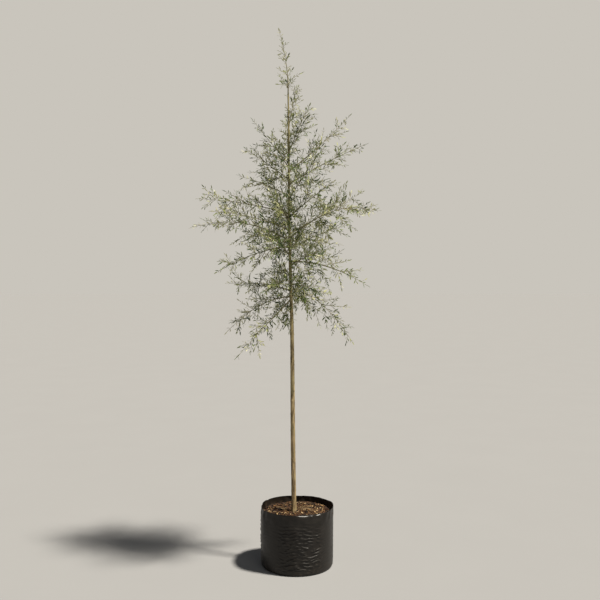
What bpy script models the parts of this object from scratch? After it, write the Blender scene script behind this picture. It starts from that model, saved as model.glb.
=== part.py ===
"""A young olive tree in a film grow bag.

Units are metres and +Z is up. The origin is the middle of the bag's flat underside, +X is the
tree's right-hand side and -Y its front. The grow bag holds the potting mix, the trunk stands on
the mix, the boughs leave the trunk, and each mass of foliage carries on from a bough's tip or
from the trunk itself. Every piece is one closed solid, and neighbours stay a small gap apart.
"""

import math
import random
from collections import namedtuple

import bmesh
import bpy
import numpy as np
from mathutils import Vector

# Space left between one piece and the next.
GAP = 0.0003
UP = Vector((0.0, 0.0, 1.0))
SHARP_ANGLE = math.radians(50)

# Grow bag: a straight-sided bag of black film, open at the top. Each wave of its rim has a
# share of the whole, a number of times round, and a start.
BAG_RADIUS = 0.1465
BAG_HEIGHT = 0.2400
BAG_FLARE = 0.0030
BAG_CORNER = 0.010
BAG_WALL = 0.0022
BAG_FLOOR = 0.003
BAG_RIM_WAVE = 0.0014
RIM_WAVES = ((0.6, 3.0, 0.8), (0.4, 7.0, 0.0))
BAG_SIDES = 36
CORNER_STEPS = 3
WALL_STEPS = 4

# Potting mix: it fills the bag to a little under the rim. Each swell of its hummocks has a
# share of the whole, a number of times round, and a twist with the distance from the middle.
MIX_TOP = 0.215
MIX_HEAVE = 0.0025
MIX_SWELLS = ((1.0, 3.0, 40.0), (0.6, 5.0, -60.0))
MIX_SEAT = 0.030
TOP_STEPS = 3

# Trunk: height, sideways lean, lean to the back, and diameter, from the soil to the tip.
TRUNK_FOOT = MIX_TOP + GAP
TRUNK_LINE = (
    (TRUNK_FOOT, -0.0127, 0.000, 0.0275),
    (0.230, -0.0129, 0.000, 0.0222),
    (0.265, -0.0134, 0.001, 0.0196),
    (0.510, -0.0170, 0.004, 0.0186),
    (0.750, -0.0188, 0.001, 0.0172),
    (0.965, -0.0210, -0.003, 0.0152),
    (1.090, -0.0245, -0.001, 0.0134),
    (1.334, -0.0310, 0.003, 0.0112),
    (1.620, -0.0340, 0.001, 0.0090),
    (1.820, -0.0353, -0.002, 0.0074),
    (1.930, -0.0364, 0.000, 0.0058),
)
TRUNK_SIDES = 10
TRUNK_RINGS = 24

# Shoots, from the lowest to the highest. Each leaves the trunk at the height "foot", heads off
# at "bearing" degrees (0 is the right, 90 the back), and its last leaf ends "reach" from the
# trunk at the height "tip". Its middle stands "arch" above the straight line between the two.
# "bare" is the share of its length that is a bough, and 0 starts the foliage at the trunk.
# "bushy" is how long its side twigs grow, as a share of the usual length.
Shoot = namedtuple("Shoot", "foot bearing reach tip arch bare bushy")
SHOOTS = (
    Shoot(1.066, 114, 0.175, 0.943, 0.010, 0.00, 1.0),
    Shoot(1.087, 222, 0.296, 0.854, 0.004, 0.25, 0.7),
    Shoot(1.098, 170, 0.292, 0.926, 0.040, 0.25, 0.9),
    Shoot(1.104, 68, 0.237, 1.033, 0.020, 0.00, 1.0),
    Shoot(1.122, 152, 0.326, 1.150, 0.015, 0.22, 1.0),
    Shoot(1.128, 20, 0.294, 0.873, 0.055, 0.24, 0.9),
    Shoot(1.146, 301, 0.233, 1.103, 0.015, 0.00, 1.0),
    Shoot(1.165, 244, 0.245, 1.114, 0.015, 0.00, 1.0),
    Shoot(1.190, 108, 0.263, 1.192, 0.015, 0.00, 1.0),
    Shoot(1.225, 307, 0.300, 1.294, 0.010, 0.24, 1.0),
    Shoot(1.243, 355, 0.335, 1.130, 0.030, 0.55, 1.1),
    Shoot(1.265, 254, 0.312, 1.327, 0.015, 0.24, 1.0),
    Shoot(1.280, 80, 0.346, 1.366, 0.015, 0.22, 1.0),
    Shoot(1.294, 45, 0.369, 1.412, 0.010, 0.22, 1.0),
    Shoot(1.304, 198, 0.322, 1.186, 0.022, 0.24, 1.0),
    Shoot(1.312, 128, 0.341, 1.354, 0.020, 0.22, 1.0),
    Shoot(1.326, 177, 0.421, 1.376, 0.052, 0.20, 0.9),
    Shoot(1.336, 351, 0.378, 1.442, 0.060, 0.20, 1.0),
    Shoot(1.356, 25, 0.356, 1.550, 0.000, 0.22, 1.0),
    Shoot(1.370, 207, 0.354, 1.434, 0.018, 0.22, 1.0),
    Shoot(1.400, 259, 0.305, 1.481, 0.010, 0.24, 1.0),
    Shoot(1.416, 107, 0.335, 1.586, 0.000, 0.22, 1.0),
    Shoot(1.425, 306, 0.311, 1.547, 0.005, 0.24, 1.0),
    Shoot(1.438, 171, 0.403, 1.506, 0.014, 0.20, 0.9),
    Shoot(1.500, 299, 0.252, 1.657, 0.000, 0.00, 1.0),
    Shoot(1.512, 193, 0.223, 1.592, 0.008, 0.00, 1.0),
    Shoot(1.560, 343, 0.335, 1.711, 0.010, 0.22, 1.0),
    Shoot(1.580, 145, 0.243, 1.738, 0.000, 0.00, 1.0),
    Shoot(1.613, 24, 0.297, 1.881, -0.012, 0.24, 0.6),
    Shoot(1.624, 250, 0.200, 1.722, 0.000, 0.00, 0.9),
    Shoot(1.645, 213, 0.183, 1.818, -0.004, 0.00, 0.7),
    Shoot(1.670, 96, 0.171, 1.869, 0.000, 0.00, 0.8),
    Shoot(1.690, 335, 0.100, 1.884, 0.006, 0.00, 0.8),
    Shoot(1.790, 47, 0.052, 1.978, 0.004, 0.00, 0.7),
)
# The last shoot carries the trunk on: where its last leaf ends, seen from the trunk's tip.
LEADER_TIP = Vector((-0.0425, 0.004, 0.277))
LEADER_SWAY = Vector((0.011, 0.0, 0.0))
LEADER_BUSHY = 0.45

BOUGH_FOOT_RADIUS = 0.0030
BOUGH_TIP_RADIUS = 0.0022
BOUGH_SIDES = 5
BOUGH_STEPS = 5

STEM_RADIUS = 0.0022
STEM_TIP_RADIUS = 0.0010
STEM_STEP = 0.090
TWIG_RADIUS = 0.0015
TWIG_TIP_RADIUS = 0.0009
TWIG_SIDES = 3
TWIG_SPACING = 0.063
TWIG_OPENING = math.radians(46)
TWIG_SHARE = 0.46
TWIG_MOST = 0.120
TWIG_LEAST = 0.040
TWIG_STALK = 0.014
TWIG_OFFSET = 0.4
TWIG_END = 0.98
STEM_END = 0.995

LEAF_LENGTH = 0.052
LEAF_WIDTH = 0.0110
LEAF_THICKNESS = 0.0016
LEAF_WIDEST = 0.42
LEAF_HALF = 0.0046
LEAF_SUNK = 0.4
LEAF_STALK = 0.009
LEAF_SPACING = 0.048
LEAF_BARE = 0.25
LEAF_OPENING = math.radians(44)
LEAF_ROLL = math.radians(52)
LEAF_STAGGER = 0.006
PAIR_OFFSET = 0.25
LAST_PAIR = 0.97
GOLDEN_ANGLE = math.radians(137.5)

# How far pairs and twigs stray from their even turns, in radians, and the smallest and largest
# shares of their usual opening and length.
PAIR_STRAY = 0.3
TWIG_STRAY = 0.35
LEAF_OPENINGS = (0.8, 1.2)
TWIG_OPENINGS = (0.85, 1.2)
TWIG_LENGTHS = (0.8, 1.1)

# A mass keeps its leaves this near its own stem, and clear of everything else by this much.
MASS_ROOM = 0.130
OVERREACH = 0.008
CLEARANCE = 0.0012
SEED = 20

# How finely curves are measured, and tested against their neighbours.
LINE_STEPS = 12
STEM_RODS = 8
STEM_ROD_RADIUS = 0.0023
TINY = 1e-14
NEARLY_UPRIGHT = 0.05


def remove_all_objects():
    for item in list(bpy.data.objects):
        bpy.data.objects.remove(item, do_unlink=True)


def finish(name, colour, roughness):
    """A Principled material of one colour."""
    made = bpy.data.materials.new(name)
    made.use_nodes = True
    shader = made.node_tree.nodes["Principled BSDF"]
    shader.inputs["Base Color"].default_value = (*colour, 1.0)
    shader.inputs["Roughness"].default_value = roughness
    shader.inputs["Metallic"].default_value = 0.0
    return made


def put(name, bm, material, collection=None):
    """An object that holds the bmesh, in the scene or in the given collection."""
    bmesh.ops.recalc_face_normals(bm, faces=bm.faces)
    mesh = bpy.data.meshes.new(name)
    bm.to_mesh(mesh)
    bm.free()
    if material:
        mesh.materials.append(material)
    made = bpy.data.objects.new(name, mesh)
    (collection or bpy.context.scene.collection).objects.link(made)
    return made


def shade_round(item):
    item.data.shade_smooth()
    item.data.set_sharp_from_angle(angle=SHARP_ANGLE)


def spread(low, high, steps):
    """Even steps from one value to another, with both ends."""
    return [low + (high - low) * k / steps for k in range(steps + 1)]


# Turned pieces: the grow bag and the potting mix


def bag_radius(height):
    """The outer radius: a rounded bottom edge, and a wall that widens a little to the top."""
    flare = BAG_FLARE * height / BAG_HEIGHT
    lift = max(0.0, BAG_CORNER - height)
    corner = BAG_CORNER - math.sqrt(BAG_CORNER**2 - lift**2)
    return BAG_RADIUS + flare - corner


def turned(bm, profile, sides, wave=None):
    """Turns (radius, height) points round the Z axis. The first and last are on the axis."""
    first = bm.verts.new((0.0, 0.0, profile[0][1]))
    last = bm.verts.new((0.0, 0.0, profile[-1][1]))
    rings = []
    for radius, height in profile[1:-1]:
        ring = []
        for k in range(sides):
            angle = 2.0 * math.pi * k / sides
            out, rise = wave(angle, radius, height) if wave else (radius, height)
            ring.append(bm.verts.new((out * math.cos(angle), out * math.sin(angle), rise)))
        rings.append(ring)
    for k in range(sides):
        after = (k + 1) % sides
        bm.faces.new((first, rings[0][after], rings[0][k]))
        for low, high in zip(rings, rings[1:]):
            bm.faces.new((low[k], low[after], high[after], high[k]))
        bm.faces.new((rings[-1][k], rings[-1][after], last))


def rim_wave(angle, radius, height):
    """Above the mix the film waves in and out, and its rim rises and falls a little."""
    share = max(0.0, (height - MIX_TOP) / (BAG_HEIGHT - MIX_TOP))
    swing = sum(part * math.sin(times * angle + start) for part, times, start in RIM_WAVES)
    wave = BAG_RIM_WAVE * share * swing
    return radius + wave, height + wave


def inside_of_film():
    """Radius and height up the inside of the film, from its floor to the top of the mix."""
    corner = spread(BAG_FLOOR, BAG_CORNER, CORNER_STEPS)
    wall = spread(BAG_CORNER, MIX_TOP, WALL_STEPS)[1:]
    return [(bag_radius(height) - BAG_WALL, height) for height in corner + wall]


def grow_bag(material):
    turns = [math.pi / 2.0 * k / CORNER_STEPS for k in range(CORNER_STEPS)]
    corner = [BAG_CORNER * (1.0 - math.cos(turn)) for turn in turns]
    heights = corner + spread(BAG_CORNER, MIX_TOP, WALL_STEPS) + [BAG_HEIGHT]
    outside = [(bag_radius(height), height) for height in heights]
    rim = [(bag_radius(BAG_HEIGHT) - BAG_WALL, BAG_HEIGHT)]
    profile = [(0.0, 0.0)] + outside + rim + inside_of_film()[::-1] + [(0.0, BAG_FLOOR)]
    bm = bmesh.new()
    turned(bm, profile, BAG_SIDES, rim_wave)
    shade_round(put("grow_bag", bm, material))


def mix_heave(angle, radius, height):
    """Low hummocks on top of the mix, level at its middle and where it meets the film."""
    if height < MIX_TOP:
        return radius, height
    span = bag_radius(MIX_TOP) - MIX_SEAT
    share = math.sin(math.pi * min(1.0, max(0.0, (radius - MIX_SEAT) / span)))
    swells = [part * math.sin(times * angle + twist * radius) for part, times, twist in MIX_SWELLS]
    most = sum(part for part, _, _ in MIX_SWELLS)
    return radius, height + MIX_HEAVE * share * sum(swells) / most


def potting_mix(material):
    """It follows the inside of the film, and has a level seat under the trunk."""
    wall = [(radius - GAP, height) for radius, height in inside_of_film()]
    base = BAG_FLOOR + GAP
    wall[0] = (wall[0][0], base)
    edge = wall[-1][0]
    top = [(radius, MIX_TOP) for radius in spread(edge, MIX_SEAT, TOP_STEPS)[1:]]
    bm = bmesh.new()
    turned(bm, [(0.0, base)] + wall + top + [(0.0, MIX_TOP)], BAG_SIDES, mix_heave)
    shade_round(put("potting_mix", bm, material))


# Limbs: tapering tubes along curved lines


def frame_along(direction):
    """Two directions across the given one: a level one, and the one above it."""
    level = direction.cross(UP)
    if level.length < NEARLY_UPRIGHT:
        level = Vector((1.0, 0.0, 0.0))
    level.normalize()
    return level, level.cross(direction).normalized()


def tube(bm, points, radii, sides, level=False):
    """A closed tube through the points, with rings square to the line or laid level."""
    rings = []
    across = None
    for k, point in enumerate(points):
        after = points[min(k + 1, len(points) - 1)]
        before = points[max(k - 1, 0)]
        direction = UP if level else (after - before).normalized()
        if across is None:
            across = frame_along(direction)[0]
        across = (across - direction * across.dot(direction)).normalized()
        other = direction.cross(across)
        ring = []
        for side in range(sides):
            angle = 2.0 * math.pi * side / sides
            spoke = across * math.cos(angle) + other * math.sin(angle)
            ring.append(bm.verts.new(point + spoke * radii[k]))
        rings.append(ring)
    for low, high in zip(rings, rings[1:]):
        for side in range(sides):
            after = (side + 1) % sides
            bm.faces.new((low[side], low[after], high[after], high[side]))
    bm.faces.new(rings[0])
    bm.faces.new(rings[-1])


def trunk_at(height):
    """The trunk's centre and radius at a height, on a smooth line through its named sizes."""
    rows = TRUNK_LINE
    k = 1
    while k < len(rows) - 2 and rows[k][0] <= height:
        k += 1
    start, end = rows[k - 1], rows[k]
    share = (height - start[0]) / (end[0] - start[0])
    before = rows[max(k - 2, 0)]
    after = rows[min(k + 1, len(rows) - 1)]
    values = []
    for column in (1, 2, 3):
        rise = end[0] - start[0]
        slope_in = (end[column] - before[column]) / (end[0] - before[0]) * rise
        slope_out = (after[column] - start[column]) / (after[0] - start[0]) * rise
        values.append(
            start[column] * (2 * share**3 - 3 * share**2 + 1)
            + slope_in * (share**3 - 2 * share**2 + share)
            + end[column] * (3 * share**2 - 2 * share**3)
            + slope_out * (share**3 - share**2)
        )
    return Vector((values[0], values[1], height)), values[2] / 2.0


def trunk_heights():
    """Ring heights, close together in the root flare and even above it."""
    flare = [row[0] for row in TRUNK_LINE[:2]]
    return flare + spread(TRUNK_LINE[2][0], TRUNK_LINE[-1][0], TRUNK_RINGS)


def trunk_tube(more=0.0):
    """The trunk's shape, or one that stands out from it all round by a little more."""
    places = [trunk_at(height) for height in trunk_heights()]
    centres = [centre for centre, _ in places]
    radii = [radius + more for _, radius in places]
    bm = bmesh.new()
    tube(bm, centres, radii, TRUNK_SIDES, level=True)
    return bm


def trunk_clearance():
    """A cutter the size of the trunk and its gap, which trims the foot of every shoot."""
    cutter = put("trunk_clearance", trunk_tube(GAP), None)
    cutter.hide_render = True
    cutter.display_type = "WIRE"
    return cutter


# Shoots: where each bough and each stem runs


SIDE_NAMES = (
    "right",
    "back_right",
    "back",
    "back_left",
    "left",
    "front_left",
    "front",
    "front_right",
)


def shoot_name(number, bearing):
    return f"{number:02d}_{SIDE_NAMES[round(bearing / 45.0) % 8]}"


class Line:
    """A smooth curve from a foot to a tip, with its middle moved aside by "sway"."""

    def __init__(self, foot, tip, sway):
        self.foot, self.tip = foot, tip
        self.bow = (foot + tip) / 2.0 + sway * 2.0
        points = self.stretch(0.0, 1.0, LINE_STEPS)
        self.length = sum((b - a).length for a, b in zip(points, points[1:]))

    def at(self, share):
        rest = 1.0 - share
        return self.foot * rest**2 + self.bow * (2.0 * rest * share) + self.tip * share**2

    def heading(self, share):
        ahead = (self.bow - self.foot) * (1.0 - share) + (self.tip - self.bow) * share
        return ahead.normalized()

    def stretch(self, start, end, steps):
        return [self.at(share) for share in spread(start, end, steps)]


def shoot_line(shoot):
    foot, _ = trunk_at(shoot.foot)
    angle = math.radians(shoot.bearing)
    out = Vector((math.cos(angle), math.sin(angle), 0.0)) * shoot.reach
    tip = foot + out
    tip.z = shoot.tip
    return Line(foot, tip, UP * shoot.arch)


def apply_modifiers(item):
    """Puts the modified mesh in place of the plain one."""
    graph = bpy.context.evaluated_depsgraph_get()
    mesh = bpy.data.meshes.new_from_object(item.evaluated_get(graph))
    item.modifiers.clear()
    item.data = mesh


def trim_at_trunk(item, cutter):
    cut = item.modifiers.new("trim", "BOOLEAN")
    cut.operation = "DIFFERENCE"
    cut.solver = "EXACT"
    cut.object = cutter
    apply_modifiers(item)


def bough(name, line, share, cutter, material):
    """The bare first part of a shoot, up to where its foliage begins."""
    end = share - GAP / 2.0 / line.length
    points = line.stretch(0.0, end, BOUGH_STEPS)
    radii = spread(BOUGH_FOOT_RADIUS, BOUGH_TIP_RADIUS, BOUGH_STEPS)
    bm = bmesh.new()
    tube(bm, points, radii, BOUGH_SIDES)
    made = put(f"bough_{name}", bm, material)
    trim_at_trunk(made, cutter)
    shade_round(made)


# Foliage: twigs and leaves grown from one stem by a seeded rule


def rod_distance(start, end, starts, ends):
    """The shortest distance from one straight rod to each of many."""
    along, others = end - start, ends - starts
    between = start - starts
    own_square = along @ along
    squares = np.einsum("ij,ij->i", others, others)
    reach = np.einsum("ij,ij->i", others, between)
    slant = between @ along
    both = others @ along
    across = np.maximum(own_square * squares - both * both, TINY)
    s = np.clip((both * reach - slant * squares) / across, 0.0, 1.0)
    t = np.clip((both * s + reach) / squares, 0.0, 1.0)
    s = np.clip((both * t - slant) / own_square, 0.0, 1.0)
    apart = start + s[:, None] * along - (starts + t[:, None] * others)
    return np.sqrt(np.einsum("ij,ij->i", apart, apart))


class Taken:
    """The space that limbs, twigs and leaves already take, as straight rods."""

    def __init__(self):
        self.rods = []
        self.stacked = None

    def add(self, points, radius):
        for start, end in zip(points, points[1:]):
            self.rods.append((*start, *end, radius))
        self.stacked = None

    def is_free(self, start, end, radius, skip=()):
        """Whether a rod would stay clear of all the others but the skipped ones."""
        if self.stacked is None:
            self.stacked = np.array(self.rods)
        rods = self.stacked
        apart = rod_distance(np.array(start), np.array(end), rods[:, :3], rods[:, 3:6])
        clear = apart - rods[:, 6] - radius > CLEARANCE
        clear[list(skip)] = True
        return bool(clear.all())


def turned_aside(direction, turn, opening):
    """A direction that leaves the given one at an opening angle, on the side "turn" names."""
    level, above = frame_along(direction)
    out = level * math.cos(turn) + above * math.sin(turn)
    return direction * math.cos(opening) + out * math.sin(opening)


def leaf_mesh(root, heading, face):
    """A flat blade of eight faces, pointed at both ends and widest before its middle."""
    across = heading.cross(face).normalized()
    middle = root + heading * (LEAF_LENGTH * LEAF_WIDEST)
    rim = (
        across * (LEAF_WIDTH / 2.0),
        face * (LEAF_THICKNESS / 2.0),
        across * (-LEAF_WIDTH / 2.0),
        face * (-LEAF_THICKNESS / 2.0),
    )
    bm = bmesh.new()
    near = bm.verts.new(root)
    far = bm.verts.new(root + heading * LEAF_LENGTH)
    ring = [bm.verts.new(middle + step) for step in rim]
    for k in range(4):
        after = (k + 1) % 4
        bm.faces.new((near, ring[after], ring[k]))
        bm.faces.new((ring[k], ring[after], far))
    return bm


class Mass:
    """One mass of foliage: a stem, the twigs on it, and the leaves on both."""

    def __init__(self, name, line, start, bushy, number, taken):
        self.name, self.line, self.start, self.taken = name, line, start, taken
        self.bushy = bushy
        self.draw = random.Random(SEED * 1000 + number)
        self.pieces = []
        leafy = line.length * (1.0 - start)
        self.end = 1.0 - LEAF_LENGTH / line.length
        self.steps = max(2, round(leafy / STEM_STEP))
        first = start + (GAP / 2.0 / line.length if start else 0.0)
        self.points = line.stretch(first, self.end, self.steps)

    def stem_at(self, share):
        """A point on the stem's middle line, which runs straight from ring to ring."""
        part = (share - self.start) / (self.end - self.start) * self.steps
        k = min(int(part), self.steps - 1)
        return self.points[k].lerp(self.points[k + 1], part - k)

    def in_room(self, point):
        """Whether a point is near enough to the stem and no further out than the tip."""
        line = self.line
        near = min((place - point).length for place in line.stretch(0.0, 1.0, LINE_STEPS))
        beyond = (point - line.tip).dot(line.heading(1.0))
        return near < MASS_ROOM and beyond < OVERREACH

    def add_leaf(self, origin, heading, radius, own):
        """Fuses a leaf on at a point of a twig's middle line, if there is room for it."""
        level, above = frame_along(heading)
        roll = self.draw.uniform(-LEAF_ROLL, LEAF_ROLL)
        face = above * math.cos(roll) + level * math.sin(roll)
        root = origin - heading * (LEAF_SUNK * radius)
        tip = root + heading * LEAF_LENGTH
        base = origin + heading * LEAF_STALK
        if not self.in_room(tip) or not self.taken.is_free(base, tip, LEAF_HALF, own):
            return
        self.pieces.append(leaf_mesh(root, heading, face))
        self.taken.add((base, tip), LEAF_HALF)

    def add_leaf_pairs(self, place, heading, length, radius, own):
        """Leaves in pairs up a stem or twig, each pair turned from the one before."""
        count = max(1, int(length * (1.0 - LEAF_BARE) / LEAF_SPACING))
        turn = self.draw.uniform(0.0, math.pi)
        for k in range(count):
            share = LEAF_BARE + (1.0 - LEAF_BARE) * (k + PAIR_OFFSET) / count
            along = heading(share)
            for side in (0, 1):
                angle = turn + math.pi * side + self.draw.uniform(-PAIR_STRAY, PAIR_STRAY)
                opening = LEAF_OPENING * self.draw.uniform(*LEAF_OPENINGS)
                origin = place(min(share + side * LEAF_STAGGER / length, LAST_PAIR))
                self.add_leaf(origin, turned_aside(along, angle, opening), radius, own)
            turn += math.pi / 2.0 + self.draw.uniform(-PAIR_STRAY, PAIR_STRAY)

    def add_twig(self, share, turn, own):
        """A side twig: the nearer the tip it starts, the shorter it is, and the last have none."""
        line = self.line
        opening = TWIG_OPENING * self.draw.uniform(*TWIG_OPENINGS)
        along = turned_aside(line.heading(share), turn, opening)
        usual = min(TWIG_MOST, TWIG_SHARE * line.length * (1.0 - share))
        length = usual * self.bushy * self.draw.uniform(*TWIG_LENGTHS)
        if length < TWIG_LEAST:
            return
        origin = self.stem_at(share)
        base = origin + along * TWIG_STALK
        tip = origin + along * length
        if not self.in_room(tip) or not self.taken.is_free(base, tip, TWIG_RADIUS, own):
            return
        bm = bmesh.new()
        tube(bm, (origin, tip), (TWIG_RADIUS, TWIG_TIP_RADIUS), TWIG_SIDES)
        self.pieces.append(bm)
        own_rods = (*own, len(self.taken.rods))
        self.taken.add((base, tip), TWIG_RADIUS)

        def place(part):
            return origin + along * (length * part)

        self.add_leaf(place(TWIG_END), along, TWIG_TIP_RADIUS, own_rods)
        self.add_leaf_pairs(place, lambda part: along, length, TWIG_RADIUS, own_rods)

    def grow(self, own):
        """The leaf at the tip comes first, then the side twigs, and then the stem's own leaves."""
        leafy = self.end - self.start

        def place(part):
            return self.stem_at(self.start + leafy * part)

        def heading(part):
            return self.line.heading(self.start + leafy * part)

        self.add_leaf(place(STEM_END), heading(1.0), STEM_TIP_RADIUS, own)
        length = self.line.length * leafy
        count = max(1, round(length / TWIG_SPACING))
        turn = self.draw.uniform(0.0, 2.0 * math.pi)
        for k in range(count):
            self.add_twig(self.start + leafy * (k + TWIG_OFFSET) / count, turn, own)
            turn += GOLDEN_ANGLE + self.draw.uniform(-TWIG_STRAY, TWIG_STRAY)
        self.add_leaf_pairs(place, heading, length, STEM_RADIUS, own)

    def build(self, cutter, material):
        """Fuses the twigs and leaves onto the stem and trims it where it meets the trunk."""
        bm = bmesh.new()
        radii = spread(STEM_RADIUS, STEM_TIP_RADIUS, self.steps)
        tube(bm, self.points, radii, TWIG_SIDES)
        made = put(f"foliage_{self.name}", bm, material)
        group = bpy.data.collections.new("growth")
        for k, piece in enumerate(self.pieces):
            put(f"growth_{k}", piece, None, group)
        fuse = made.modifiers.new("fuse", "BOOLEAN")
        fuse.operation = "UNION"
        fuse.solver = "MANIFOLD"
        fuse.operand_type = "COLLECTION"
        fuse.collection = group
        apply_modifiers(made)
        for item in list(group.objects):
            bpy.data.objects.remove(item, do_unlink=True)
        bpy.data.collections.remove(group)
        if not self.start:
            trim_at_trunk(made, cutter)


def crown(bark, leaf, cutter):
    taken = Taken()
    places = [trunk_at(height) for height in trunk_heights()]
    for (low, radius), (high, _) in zip(places, places[1:]):
        taken.add((low, high), radius)
    masses = []
    for number, shoot in enumerate(SHOOTS, start=1):
        name = shoot_name(number, shoot.bearing)
        line = shoot_line(shoot)
        if shoot.bare:
            bough(name, line, shoot.bare, cutter, bark)
        masses.append(Mass(name, line, shoot.bare, shoot.bushy, number, taken))
    top = trunk_at(TRUNK_LINE[-1][0])[0] + Vector((0.0, 0.0, GAP))
    leader = Line(top, top + LEADER_TIP, LEADER_SWAY)
    masses.append(Mass("leader", leader, 0.0, LEADER_BUSHY, len(masses) + 1, taken))
    own_rods = []
    for mass in masses:
        first = len(taken.rods)
        taken.add(mass.line.stretch(0.0, mass.end, STEM_RODS), STEM_ROD_RADIUS)
        own_rods.append(tuple(range(first, len(taken.rods))))
    for mass, own in zip(masses, own_rods):
        mass.grow(own)
    for mass in masses:
        mass.build(cutter, leaf)


def main():
    remove_all_objects()
    grow_bag(finish("black film", (0.022, 0.022, 0.024), 0.42))
    potting_mix(finish("potting mix", (0.16, 0.085, 0.045), 0.95))
    bark = finish("olive bark", (0.20, 0.17, 0.10), 0.80)
    shade_round(put("trunk", trunk_tube(), bark))
    leaf = finish("olive leaf", (0.27, 0.30, 0.19), 0.60)
    crown(bark, leaf, trunk_clearance())


main()
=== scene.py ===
"""The looks of a young olive tree in a film grow bag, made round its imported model.

Units are metres and +Z is up. The trunk, the boughs and the stems of the foliage follow the
same lines as the model's solids, and the foliage grows by the same seeded rule: each mass puts
out side twigs, and stems and twigs put out sprays. A spray is then grown here as a finer twig
with leaves of real size, and every spray ends where the solid's own leaf does.
"""

import math
import random
from collections import namedtuple

import bpy
import numpy as np
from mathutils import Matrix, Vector, noise


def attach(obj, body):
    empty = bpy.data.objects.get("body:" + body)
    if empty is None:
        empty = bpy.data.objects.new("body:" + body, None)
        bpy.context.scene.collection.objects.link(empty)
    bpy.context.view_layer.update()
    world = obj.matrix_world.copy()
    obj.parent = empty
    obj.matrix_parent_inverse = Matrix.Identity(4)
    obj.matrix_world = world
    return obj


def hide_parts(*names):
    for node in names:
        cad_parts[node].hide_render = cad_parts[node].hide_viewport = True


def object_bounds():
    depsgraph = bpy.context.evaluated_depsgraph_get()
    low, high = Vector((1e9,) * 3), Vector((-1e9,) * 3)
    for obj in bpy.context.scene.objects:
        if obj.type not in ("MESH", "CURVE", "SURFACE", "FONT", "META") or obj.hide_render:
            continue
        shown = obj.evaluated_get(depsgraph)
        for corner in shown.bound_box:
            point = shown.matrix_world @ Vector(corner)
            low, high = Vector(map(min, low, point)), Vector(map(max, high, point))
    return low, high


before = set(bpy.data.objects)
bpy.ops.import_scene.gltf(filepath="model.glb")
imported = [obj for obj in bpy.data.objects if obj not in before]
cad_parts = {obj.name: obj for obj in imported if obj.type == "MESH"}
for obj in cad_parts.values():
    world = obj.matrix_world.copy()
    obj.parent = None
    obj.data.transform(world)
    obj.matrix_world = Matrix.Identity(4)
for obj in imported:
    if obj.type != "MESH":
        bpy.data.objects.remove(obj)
cad_low, cad_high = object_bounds()

# Every piece rides on one body. The solids stand "gap" apart where living wood is one piece.
BODY = "root"
UP = Vector((0.0, 0.0, 1.0))
GAP = 0.0003
SEED = 20

# Grow bag: a straight-sided bag of black film, open at the top. Each wave of its rim has a
# share of the whole, a number of times round, and a start. "Overlap" is how far the film's
# inside is carried down behind the mix.
BAG_RADIUS = 0.1465
BAG_HEIGHT = 0.2400
BAG_FLARE = 0.0030
BAG_CORNER = 0.010
BAG_RIM_WAVE = 0.0014
RIM_WAVES = ((0.6, 3.0, 0.8), (0.4, 7.0, 0.0))
FILM_THICKNESS = 0.0013
FILM_SIDES = 440
FILM_ROW = 0.0016
FILM_OVERLAP = 0.012
FILM_SHARP = math.radians(70)
CORNER_STEPS = 6

# Rim: the film's edge rolls inwards, more broadly in some places: at which bearing, over how
# many degrees to each side, and how much more broadly. The rolled film is a little thinner.
ROLL_LEAST = 0.0011
ROLL_MOST = 0.0125
ROLLS = (
    (-78, 9, 0.0105),
    (-57, 9, 0.0085),
    (-112, 13, 0.0018),
    (-22, 10, 0.0016),
    (35, 14, 0.0020),
    (96, 18, 0.0022),
    (176, 11, 0.0014),
    (214, 9, 0.0018),
)
ROLL_TURN = math.radians(105)
ROLL_STEPS = 9
ROLL_THINNED = 0.8

# Wrinkles of the film: two families of folds that run round the bag and cross each other. How
# far apart the folds run, how deep and how sharp they are, and which share of their depth
# stands inside the plain wall.
WRINKLE_SPACINGS = (0.0158, 0.0124)
WRINKLE_DEPTH = 0.0033
WRINKLE_CREST = 2.4
WRINKLE_LEVEL = 0.25

# Folds wander and ripple, in radians of their own turn, and come in patches. A field of waves
# says how many waves it has, and how fast they change round the bag and up it.
Waves = namedtuple("Waves", "count around up")
WRINKLE_WANDER = 2.6
WANDER_WAVES = Waves(9, 6.0, 18.0)
WRINKLE_RIPPLE = 0.7
RIPPLE_WAVES = Waves(9, 17.0, 50.0)
PATCH_WAVES = Waves(9, 12.0, 105.0)
PATCH_EDGE = (-1.0, 0.8)

# Wrinkled zones: how many there are, the middle of the front one, how softly they end, and how
# deep the wrinkles are between them. They fade in above the bottom, and mostly out below the rim.
WRINKLE_ZONES = 3
WRINKLE_FRONT = math.radians(-82)
ZONE_EDGE = (-0.60, 0.30)
ZONE_LEAST = 0.10
WRINKLE_LOW = (0.006, 0.030)
WRINKLE_HIGH = (0.160, 0.222)
WRINKLE_LOSS = 0.90

# Broad dents, a crumpled strip above the mix, and one pleat at the back.
DENT_DEPTH = 0.00055
DENT_WAVES = Waves(7, 3.0, 14.0)
DENT_LOW = (0.0, 0.04)
CRUMPLE_DEPTH = 0.00095
CRUMPLE_WAVES = Waves(9, 14.0, 70.0)
CRUMPLE_STRIP = 0.030
PLEAT_BEARING = math.radians(147)
PLEAT_WIDTH = 0.0040
PLEAT_DEPTH = 0.0050
PLEAT_RISE = (0.17, 0.225)

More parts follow.
